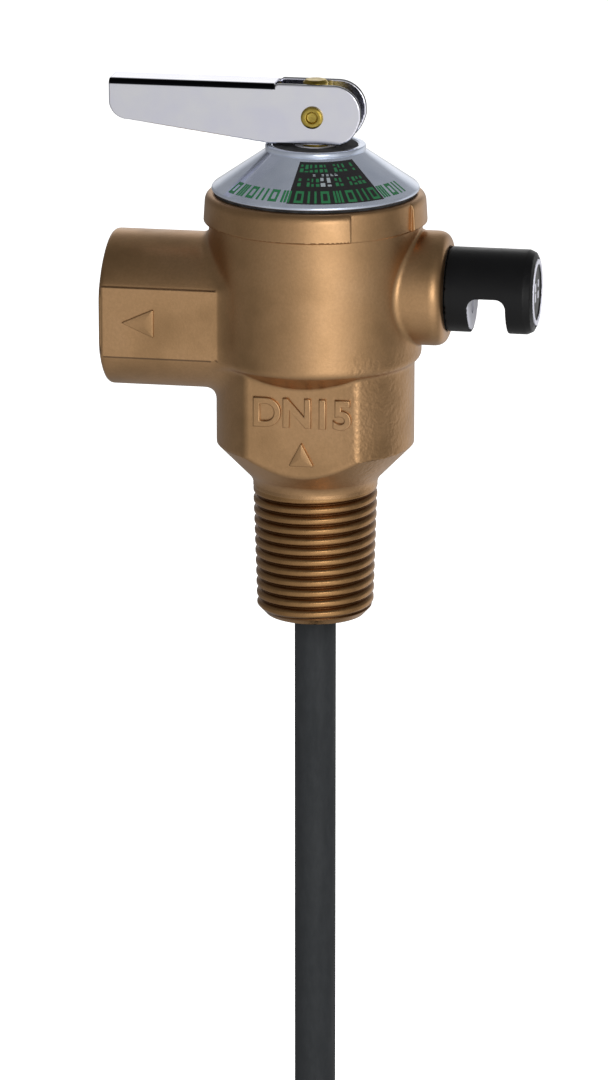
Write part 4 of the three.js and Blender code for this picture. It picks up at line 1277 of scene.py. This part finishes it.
@dataclass
class BonnetCap:
    """The chromed cap that is crimped into the collar, with its printed label and the stem's bush."""

    rim_r: float = 17.25
    crown_r: float = 8.2
    flange_r: float = 16.65
    gasket_r: float = 13.95
    cone_low: float = 73.45
    rim_low: float = 72.95
    cone_high: float = 79.67
    film: float = 0.05

    def cone_r(self, z: np.ndarray) -> np.ndarray:
        """The cone's outer radius at a height."""
        height = self.cone_high - self.cone_low
        return self.rim_r - (self.rim_r - self.crown_r) * (z - self.cone_low) / height

    def printed(self, name: str, marks: Sequence[Patch], proud: float) -> bpy.types.Object:
        """Builds thin printed patches on the cone as one mesh.

        Each is a closed grid between two angles and two heights. A point is (r sin a, -r cos a, z), with a
        from the front towards +X and r the cone's radius at z plus a film thickness.

        Args:
            name: the piece's name.
            marks: first and last angle in degrees and lowest and highest height of each patch.
            proud: how far the print stands off the cone.

        Returns:
            The print.
        """
        all_points, all_quads, count = [], [], 0
        for start, end, low, high in marks:
            columns = max(3, int((end - start) / 1.5))
            a = np.radians(np.linspace(start, end, columns))
            z = np.array([low, high, high, low])
            r = self.cone_r(z) + np.array([proud, proud, -0.1, -0.1])
            ring = [r[:, None] * np.sin(a), -r[:, None] * np.cos(a), np.repeat(z[:, None], columns, axis=1)]
            all_points.append(np.stack(ring, axis=-1).reshape(-1, 3))
            side = grid_quads(4, columns, True, False)
            ends = np.array([[0, 1, 2, 3], [3, 2, 1, 0]]) * columns + np.array([[0], [columns - 1]])
            all_quads.append(np.concatenate([side[:, ::-1], ends[:, ::-1]]) + count)
            count += 4 * columns
        piece = put_mesh(name, np.concatenate(all_points), np.concatenate(all_quads))
        piece.data.shade_flat()
        return piece

    def build(self) -> None:
        """Builds cap, print, bush and gasket, a black dish that is painted shade under the lever, and a black
        gasket lip that is partly painted shade under the rim.
        """
        low, high = box_mm("bonnet_cap")
        top, flange = high[2], low[2]
        rim, crown, neck, inner = self.rim_r, self.crown_r, self.flange_r - 0.8, self.flange_r - 1.45
        profile = [[self.flange_r, flange], [self.flange_r, flange + 1.0], [neck, flange + 1.0]]
        profile += [[neck, self.rim_low], [rim, self.rim_low], [rim, self.cone_low], [crown, self.cone_high]]
        profile += [[crown + 0.15, self.cone_high + 0.2], [crown + 0.15, top - 0.15], [crown - 0.1, top]]
        profile += [[crown - 0.8, top], [crown - 1.1, top - 0.2], [3.65, top - 0.2], [3.65, top - 1.4]]
        profile += [[6.8, top - 1.4], [inner, self.cone_low], [inner, flange]]
        cap = Turned("chromed_cap", profile, edge_mm=0.28, sides=192).build()
        dress(cap, CHROME, Body.CASING, Slot.CHROME, "bonnet_cap")
        # a black rubber dish in the cap's top: painted shade under the lever's ears
        dish = [[3.7, top - 0.24], [crown - 1.05, top - 0.24], [crown - 1.2, top - 0.1], [3.7, top - 0.1]]
        dress(Turned("shade_dish", dish, edge_mm=0.03).build(), RUBBER, Body.CASING, Slot.RUBBER)
        self.build_print()
        low, high = box_mm("stem_bush")
        z0, z1 = low[2], high[2]
        steps = [[2.2, z0], [5.1, z0], [5.1, z0 + 0.9], [3.5, z0 + 0.9], [3.5, z1], [2.2, z1]]
        bush = Turned("stem_bush_ring", steps)
        dress(bush.build(), PALE_NYLON, Body.CASING, Slot.NYLON, "stem_bush")
        low, high = box_mm("bonnet_gasket")
        gasket = Turned("cap_gasket", ring_profile(self.gasket_r, high[0], low[2], high[2]), edge_mm=0.2)
        dress(gasket.build(), RUBBER, Body.CASING, Slot.RUBBER, "bonnet_gasket")
        # a black gasket lip under the cap's rim: part gasket, part painted shade in the gap above the collar
        foot = self.rim_low - 0.03
        shade_lip = Turned("gasket_lip_and_shade", ring_profile(neck + 0.03, 16.9, foot - 0.42, foot), edge_mm=0.1)
        dress(shade_lip.build(), RUBBER, Body.CASING, Slot.RUBBER)

    def frieze(self, start: float, end: float, low: float, high: float, count: int) -> list[Patch]:
        """Lays out a plain border of open boxes and upright bars between two angles and two heights.

        Args:
            start: first angle, in degrees.
            end: last angle, in degrees.
            low: lowest height.
            high: highest height.
            count: how many marks there are.

        Returns:
            The rectangles that the marks are made of.
        """
        step = (end - start) / count
        stroke, width = step * 0.17, step * 0.68
        line = (high - low) * 0.2
        marks = []
        for k in range(count):
            left = start + k * step
            right = left + width
            marks += [(left, left + stroke, low, high), (right - stroke, right, low, high)]
            if k % 2 == 0:
                marks += [(left, right, low, low + line), (left, right, high - line, high)]
            elif k % 4 == 1:
                marks.append(((left + right - stroke) / 2, (left + right + stroke) / 2, low, high))
        return marks

    def build_print(self) -> None:
        """Prints a black panel with rows of grey and green bars, and a border round the cone's foot."""
        panel = self.printed("label_panel", [(-6.5, 53.0, 73.95, 79.3)], self.film)
        dress(panel, LABEL_INK, Body.CASING, Slot.LABEL, "cap_label")
        rng = np.random.default_rng(SEED)
        rows = {
            GREEN_INK: [
                (-4.0, 50.0, 78.0, 78.95, 12),
                (-3.0, 14.0, 76.2, 77.2, 5),
                (25.0, 50.0, 76.2, 77.2, 7),
            ],
            GREY_INK: [(14.0, 24.0, 76.2, 77.3, 2), (8.0, 30.0, 77.5, 77.75, 6)],
        }
        for ink, bands in rows.items():
            marks = self.frieze(-51.0, 78.0, 74.1, 75.6, 16) if ink is GREEN_INK else []
            for start, end, low, high, count in bands:
                step, gap = (end - start) / count, 0.12 * (high - low)
                for k in range(count):
                    if rng.random() < 0.1:
                        continue
                    left = start + k * step
                    width = step * (0.5 + 0.25 * rng.random())
                    split = low + (high - low) * (0.3 + 0.4 * rng.random())
                    marks.append((left, left + width, low, split - gap))
                    marks.append((left, left + width * (0.6 + 0.4 * rng.random()), split + gap, high))
            piece = self.printed(f"{ink.name}_rows", marks, self.film + 0.03)
            dress(piece, ink, Body.CASING, Slot.LABEL)


@dataclass
class TestLever:
    """The pressed sheet lever and its hollow rivet. Lengths are measured from the pin."""

    width: float = 6.5
    sheet: float = 0.9
    bend: float = 1.1
    top: float = 5.4
    foot: float = -4.6
    nose_r: float = 4.6
    tip_foot: float = -1.46
    tip_r: float = 3.1
    hole_r: float = 1.3
    edge: float = 0.22
    cell: float = 0.24

    def __post_init__(self) -> None:
        """Reads the pin's height and the lever's reach from the CAD frame."""
        low, high = box_mm("pivot_pin")
        self.pin_z = (low[2] + high[2]) / 2
        low, high = box_mm("test_lever")
        self.tip_x, self.nose_x = low[0], high[0]

    def ear(self) -> list[Point]:
        """An ear's outline in x and z: straight foot, rounded toe, and an arc over its nose.

        Returns:
            The outline's corners.
        """
        nose, top, foot, r = self.nose_x, self.top, self.foot, self.nose_r
        t = np.linspace(0, 1, 9)[1:, None]
        toe = (1 - t) ** 2 * np.array([4.7, foot]) + 2 * t * (1 - t) * np.array([nose - 0.9, -3.7])
        toe += t**2 * np.array([nose, -0.3])
        a = np.linspace(0, math.pi / 2, 14)
        arc = np.stack([nose - r + r * np.cos(a), top - r + r * np.sin(a)], axis=-1)
        path = np.concatenate([[[-7.4, foot], [4.7, foot]], toe, arc, [[-5.85, top], [-7.4, top - 1.1]]])
        return [tuple(point) for point in path]

    def handle(self) -> list[Point]:
        """The handle's outline in x and z, past its top so that the channel's bends shape it.

        Returns:
            The outline's corners.
        """
        r, above = self.tip_r, self.top + 2
        t = np.linspace(0, math.pi / 2, 12)[::-1]
        tip = np.stack([self.tip_x + r - r * np.sin(t), self.tip_foot + r - r * np.cos(t)], axis=-1)
        end = [[-7.1, self.foot], [-6.4, self.foot]]
        path = np.concatenate([[[-6.4, above], [self.tip_x, above]], tip, end])
        return [tuple(point) for point in path]

    def field(self, p: np.ndarray) -> np.ndarray:
        """The lever as a distance field: a channel cut to the handle's outline, and two flat ears.

        Args:
            p: Points, one to a row.

        Returns:
            The distance at each point, below zero inside.
        """
        x, y, z = p[..., 0], np.abs(p[..., 1]), p[..., 2]
        half = self.width / 2

        def arch(width: float, height: float, bend: float) -> np.ndarray:
            """Distance to an arch open below, with bends at its two shoulders."""
            return corner_distance(y - width + bend, z - height + bend) - bend

        inner = arch(half - self.sheet, self.top - self.sheet, 0.25)
        channel = np.maximum(arch(half, self.top, self.bend), -inner)
        handle = smooth_cut(channel, polygon_distance(x, z, self.handle()), self.edge)
        plate = np.abs(y - half + self.sheet / 2) - self.sheet / 2
        ears = smooth_cut(plate, polygon_distance(x, z, self.ear()), self.edge)
        return np.maximum(np.minimum(handle, ears), self.hole_r - np.hypot(x, z))

    def build(self) -> None:
        """Builds the lever and the rivet."""

        def placed(p: np.ndarray) -> np.ndarray:
            """The lever's field, with the pin at its real height."""
            return self.field(p - np.array([0, 0, self.pin_z]))

        side = self.width / 2 + 0.8
        low, high = (self.tip_x - 0.8, -side, self.pin_z - 5.4), (self.nose_x + 0.8, side, self.pin_z + 6.2)
        lever = Casting("pressed_lever", placed, low, high, self.cell).build()
        dress(lever, LEVER_CHROME, Body.LEVER, Slot.CHROME, "test_lever")
        ear = self.width / 2 + 0.02
        head = [(1.2, 0.0), (1.85, 0.0), (1.85, 0.38), (1.5, 0.55), (1.0, 0.58), (0.8, 0.1), (0, 0.1)]
        half = [[r, ear + rise] for r, rise in head]
        profile = [[r, -y] for r, y in half][::-1] + half
        pin = Turned("hollow_rivet", profile, Axis.Y, (0, 0, self.pin_z), edge_mm=0.1, sides=64, step_mm=0.5)
        dress(pin.build(), TURNED_BRASS, Body.LEVER, Slot.TURNED_BRASS, "pivot_pin")


@dataclass
class VentNozzle:
    """The black vent nozzle, its pale perforated disc and its end ring, on an axis along +X."""

    radius: float = 7.05
    chamfer: float = 1.5
    notch_x: float = 26.5
    notch_width: float = 6.3
    notch_corner: float = 1.7
    dish: float = 0.25  # how deep the end face lies inside its ring
    bore_r: float = 3.9
    insert_r: float = 6.62
    insert_x: float = 25.5
    ring_r: Point = (4.7, 5.5)
    groove_half: float = 0.5
    cell: float = 0.28

    def __post_init__(self) -> None:
        """Reads the nozzle's span and axis from the CAD frame."""
        low, high = box_mm("vent_nozzle")
        self.start_x, self.end_x = low[0], high[0]
        self.axis_z = (low[2] + high[2]) / 2

    def field(self, p: np.ndarray) -> np.ndarray:
        """The nozzle: a turned plug with a stepped bore, a rounded end and a notch through its lower half.

        Args:
            p: Points, one to a row.

        Returns:
            The distance at each point, below zero inside.
        """
        x, y, z = p[..., 0], p[..., 1], p[..., 2] - self.axis_z
        around = np.hypot(y, z)
        start, end = self.start_x, self.end_x
        plug = [[5.6, start], [5.6, 22.7], [self.radius, 22.7], [self.radius, end - self.chamfer]]
        plug += [[self.radius - 0.45, end - 0.55], [self.radius - self.chamfer, end]]
        shape = turned_field(plug, around, x)
        past = x - self.notch_x - 1
        bore = np.maximum(around - self.bore_r, past)
        seat = np.maximum.reduce([around - self.insert_r, self.insert_x - x, past])
        half, corner = self.notch_width / 2, self.notch_corner
        middle = self.notch_x + half
        notch = corner_distance(np.abs(x - middle) - half + corner, z + corner) - corner
        ring_middle = sum(self.ring_r) / 2
        groove = np.maximum(np.abs(around - ring_middle) - self.groove_half, end - 0.4 - x)
        dish = np.maximum(around - 4.2, end - self.dish - x)
        cut = np.minimum.reduce([bore, seat, notch, groove, dish])
        return smooth_cut(shape, -cut, 0.22)

    def build(self) -> None:
        """Builds the nozzle, its ring, the marks on its end, its O-ring and the vent's spring."""
        r, z = self.radius, self.axis_z
        room, end = 0.7, self.end_x
        low, high = (self.start_x - room, -r - room, z - r - room), (end + room, r + room, z + r + room)
        nozzle = Casting("vent_plug", self.field, low, high, self.cell).build()
        dress(nozzle, BLACK_NYLON, Body.CASING, Slot.BLACK, "vent_nozzle")
        centre = (0.0, 0.0, z)
        profile = ring_profile(*self.ring_r, end - 0.3, end)
        ring = Turned("nozzle_ring", profile, Axis.X, centre, edge_mm=0.08, step_mm=0.4)
        dress(ring.build(), PALE_NYLON, Body.CASING, Slot.NYLON, "nozzle_end_ring")
        self.end_marks()
        low, high = box_mm("vent_oring")
        middle = (low[0] + high[0]) / 2
        a = np.arange(16) * 2 * math.pi / 16
        section = np.stack([6.25 + 0.55 * np.cos(a), middle + 0.55 * np.sin(a)], axis=-1)
        oring = Turned("vent_seal_ring", section, Axis.X, centre, edge_mm=0.05, sides=96)
        dress(oring.build(), RUBBER, Body.CASING, Slot.RUBBER, "vent_oring")
        low, high = box_mm("vent_spring")
        wound = {"closed_turns": 0.9, "sides": 10, "steps_per_turn": 40}
        coil = Coil("vent_coil", 2.4, 0.5, low[0], high[0], 6, Axis.X, centre, **wound)
        piece = dress(coil.build(), STEEL, Body.CASING, Slot.STEEL, "vent_spring")
        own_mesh(piece)

    def end_marks(self) -> None:
        """Builds four small raised bars on the end face, each a box of six quads."""
        face, z = self.end_x - self.dish, self.axis_z
        faces = np.array([[0, 1, 3, 2], [4, 6, 7, 5], [0, 4, 5, 1], [2, 3, 7, 6], [0, 2, 6, 4], [1, 5, 7, 3]])
        bars = [(-1.6, 1.1, 0.9, 0.7), (-1.6, -0.6, 0.9, 0.7), (1.5, 1.2, 0.8, 0.6), (1.5, -0.7, 0.8, 0.6)]
        for k, (y, rise, width, half_height) in enumerate(bars):
            sides = [y - 0.5 * width, y + 0.5 * width]
            heights = [z + rise - half_height, z + rise + half_height]
            corners = itertools.product((face - 0.1, face + 0.06), sides, heights)
            mark = put_mesh(f"nozzle_mark_{k}", np.array(list(corners)), faces)
            mark.data.shade_flat()
            dress(mark, PALE_NYLON, Body.CASING, Slot.NYLON)


@dataclass
class StemAndSpring:
    """The stem, its main spring and the plates that hold it."""

    stem_r: float = 2.5
    groove_r: float = 2.0
    head_r: float = 2.1
    step_z: float = 72.02
    spring_r: float = 8.4
    wire: float = 2.4
    turns: float = 6.5
    travel: float = 4.3

    def build(self) -> None:
        """Builds the stem and the spring; the plates and the disc keep their CAD shapes."""
        clip_low, clip_high = box_mm("spring_clip")
        low, high = box_mm("stem")
        foot, top, step = low[2], high[2], self.step_z
        below, above = clip_low[2] - 0.1, clip_high[2] + 0.1
        shaft, neck, head = self.stem_r, self.groove_r, self.head_r
        profile = [[0, foot], [shaft, foot], [shaft, below], [neck, below], [neck, above], [shaft, above]]
        profile += [[shaft, step], [head, step + 0.4], [head, top - 0.45], [head - 0.45, top], [0, top]]
        stem = Turned("lift_stem", profile, edge_mm=0.12, sides=64, step_mm=1.0)
        dress(stem.build(), TURNED_BRASS, Body.STEM, Slot.TURNED_BRASS, "stem")
        low, high = box_mm("main_spring")
        coil = Coil("main_coil", self.spring_r, self.wire, low[2], high[2], self.turns)
        piece = dress(coil.build(), STEEL, Body.CASING, Slot.STEEL, "main_spring")
        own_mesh(piece)


@dataclass
class Probe:
    """The dark coated probe that hangs from the inlet, with its rounded tip."""

    wall: float = 0.6
    gap: float = 0.03  # between tube and tip

    def build(self) -> None:
        """Builds tube and tip as one dipped piece each."""
        low, high = box_mm("probe_tube")
        foot, radius = low[2], high[0]
        inside = radius - self.wall
        profile = ring_profile(inside, radius, foot, high[2])
        tube = Turned("probe_sheath", profile, edge_mm=0.12, sides=96, step_mm=4.0)
        dress(tube.build(), EPOXY_TUBE, Body.CASING, Slot.TUBE, "probe_tube")
        low, high = box_mm("probe_tip")
        end, inner, shoulder = low[2], high[2], foot - self.gap
        profile = [[0, end], [radius * 0.55, end], [radius * 0.88, end + 0.7], [radius, end + 1.9]]
        profile += [[radius, shoulder], [inside - 0.1, shoulder], [inside - 0.1, inner], [0, inner]]
        tip = Turned("probe_end", profile, edge_mm=0.5, sides=96, step_mm=0.8)
        dress(tip.build(), EPOXY_TUBE, Body.CASING, Slot.TUBE, "probe_tip")


@dataclass
class CadPieces:
    """The CAD nodes whose shapes already are right: they keep them and get a finish."""

    def build(self) -> None:
        """Assigns each node's finish."""
        finishes: dict[Finish, tuple[str, ...]] = {
            TURNED_BRASS: ("valve_disc", "seal_nut", "probe_guide", "wax_capsule", "vent_poppet"),
            STEEL: (
                "spring_top_seat",
                "spring_bottom_seat",
                "spring_clip",
                "seal_washer",
                "guide_ring",
                "push_rod",
            ),
            PALE_NYLON: ("vent_insert",),
            RUBBER: ("stem_seal", "disc_seal", "poppet_seal"),
        }
        for finish, nodes in finishes.items():
            for name in nodes:
                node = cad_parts[name]
                node.data.materials.clear()
                node.data.materials.append(material_of(finish))
                log.info("%s keeps its CAD shape", name)


# ---------------------------------------------------------------- stage, light and camera


@dataclass(frozen=True)
class Glow:
    """A soft patch of light in the room: where it is, how wide it is, in degrees, and how bright."""

    azimuth: float
    elevation: float
    inner: float
    outer: float
    strength: float


@dataclass
class Studio:
    """A plain pale floor, soft lights and the camera."""

    base: float = 0.16
    glows: tuple[Glow, ...] = (
        Glow(27, -14, 0, 45, 0.42),
        Glow(20, -16, 0, 90, 0.28),
        Glow(24, 6, 0, 23, 1.9),
        Glow(0, -90, 20, 110, 0.17),
        Glow(145, -16, 0, 45, 0.5),
        Glow(189, 12, 6, 24, 0.72),
        Glow(185, 25, 5, 45, 0.15),
    )
    azimuth: float = 10.4
    elevation: float = 16.05
    distance: float = 971.1
    lens: float = 341.2
    aim_z: float = 12.36
    aim_right: float = -1.92
    floor_reach: float = 8000.0
    lamp_distance: float = 900.0
    lamp_aim_z: float = 50.0

    def away(self, azimuth: float, elevation: float) -> np.ndarray:
        """Unit vector from the valve towards a direction given in degrees, 0 azimuth being the front."""
        a, e = math.radians(azimuth), math.radians(elevation)
        return np.array([math.sin(a) * math.cos(e), -math.cos(a) * math.cos(e), math.sin(e)])

    def aim(
        self, thing: bpy.types.Object, target: np.ndarray, azimuth: float, elevation: float, distance: float
    ) -> None:
        """Puts a camera or lamp at a distance from a target, and turns it to face it.

        Args:
            thing: the camera or lamp.
            target: the point that it faces, in millimetres.
            azimuth: its direction round the valve, in degrees.
            elevation: its height, in degrees.
            distance: from the target, in millimetres.
        """
        direction = self.away(azimuth, elevation)
        thing.location = Vector((target + direction * distance) * MM)
        thing.rotation_euler = Vector(direction).to_track_quat("Z", "Y").to_euler()

    def camera(self) -> None:
        """Places the camera and makes it the scene's own."""
        a = math.radians(self.azimuth)
        right = np.array([math.cos(a), math.sin(a), 0])
        target = np.array([0, 0, self.aim_z]) + self.aim_right * right
        data = bpy.data.cameras.new("camera")
        data.sensor_fit, data.sensor_width, data.lens = "HORIZONTAL", 36, self.lens
        data.clip_start, data.clip_end = 0.05, 20
        bpy.context.scene.camera = link_object("camera", data)
        self.aim(bpy.context.scene.camera, target, self.azimuth, self.elevation, self.distance)

    def floor(self) -> None:
        """Builds a flat floor just below the probe. It ends where the white room behind it goes on."""
        low, _ = box_mm("probe_tip")
        ground, r = low[2] - 0.5, self.floor_reach
        corners = np.array([[-r, -r, ground], [r, -r, ground], [r, r, ground], [-r, r, ground]])
        floor = put_mesh("floor", corners, np.array([[0, 1, 2, 3]]))
        floor.data.materials.append(material_of(PAPER))
        floor.visible_diffuse = False
        floor.visible_glossy = False
        floor.visible_shadow = False

    def light(self, name: str, azimuth: float, elevation: float, size: Point, power: float) -> None:
        """Adds a rectangular soft light that faces the valve.

        Args:
            name: the light's name.
            azimuth: its direction round the valve, in degrees.
            elevation: its height, in degrees.
            size: its width and height, in millimetres.
            power: in watts.
        """
        data = bpy.data.lights.new(name, "AREA")
        data.shape = "RECTANGLE"
        data.size, data.size_y = size[0] * MM, size[1] * MM
        data.energy = power
        lamp = link_object(name, data)
        lamp.visible_glossy = False
        self.aim(lamp, np.array([0, 0, self.lamp_aim_z]), azimuth, elevation, self.lamp_distance)

    def world(self) -> None:
        """Lights the room with soft glows on a dim base, and shows plain white behind the valve.

        A glow's light is its strength times a smooth step of the cosine between the direction looked in
        and the glow's own direction, from the cosine of its outer angle to that of its inner angle.
        """
        world = bpy.data.worlds.new("studio")
        world.use_nodes = True
        tree = world.node_tree
        look = add_node(tree, "ShaderNodeTexCoord", output="Generated")
        total: Socket | float = self.base
        for glow in self.glows:
            pair = {0: look, 1: tuple(self.away(glow.azimuth, glow.elevation))}
            near = add_node(tree, "ShaderNodeVectorMath", pair, "Value", operation="DOT_PRODUCT")
            inner, outer = math.cos(math.radians(glow.inner)), math.cos(math.radians(glow.outer))
            limits = {0: near, 1: outer, 2: inner, 3: 0.0, 4: glow.strength}
            step = add_node(tree, "ShaderNodeMapRange", limits, interpolation_type="SMOOTHSTEP")
            total = add_node(tree, "ShaderNodeMath", {0: total, 1: step}, operation="ADD")
        seen = add_node(tree, "ShaderNodeLightPath", output="Is Camera Ray")
        shown = add_node(tree, "ShaderNodeMix", {0: seen, 2: total, 3: 1.0})
        background = next(n for n in tree.nodes if n.type == "BACKGROUND")
        background.inputs[0].default_value = linear("#FFFFFF")
        tree.links.new(shown, background.inputs[1])
        bpy.context.scene.world = world
        bpy.context.scene.view_settings.view_transform = "Standard"

    def build(self) -> None:
        """Builds everything round the valve."""
        self.camera()
        self.floor()
        self.world()
        self.light("key_softbox", 50, 35, (420, 600), 6)
        self.light("left_softbox", -50, 20, (300, 600), 4)


def main() -> None:
    """Builds the studio and every sub-assembly in order."""
    logging.basicConfig(level=logging.INFO, format="%(name)s %(message)s")
    Studio().build()
    casing = ValveCasing()
    casing.build()
    CastMarks().build(casing)
    BonnetCap().build()
    TestLever().build()
    VentNozzle().build()
    StemAndSpring().build()
    Probe().build()
    CadPieces().build()


if __name__ == "__main__":
    main()
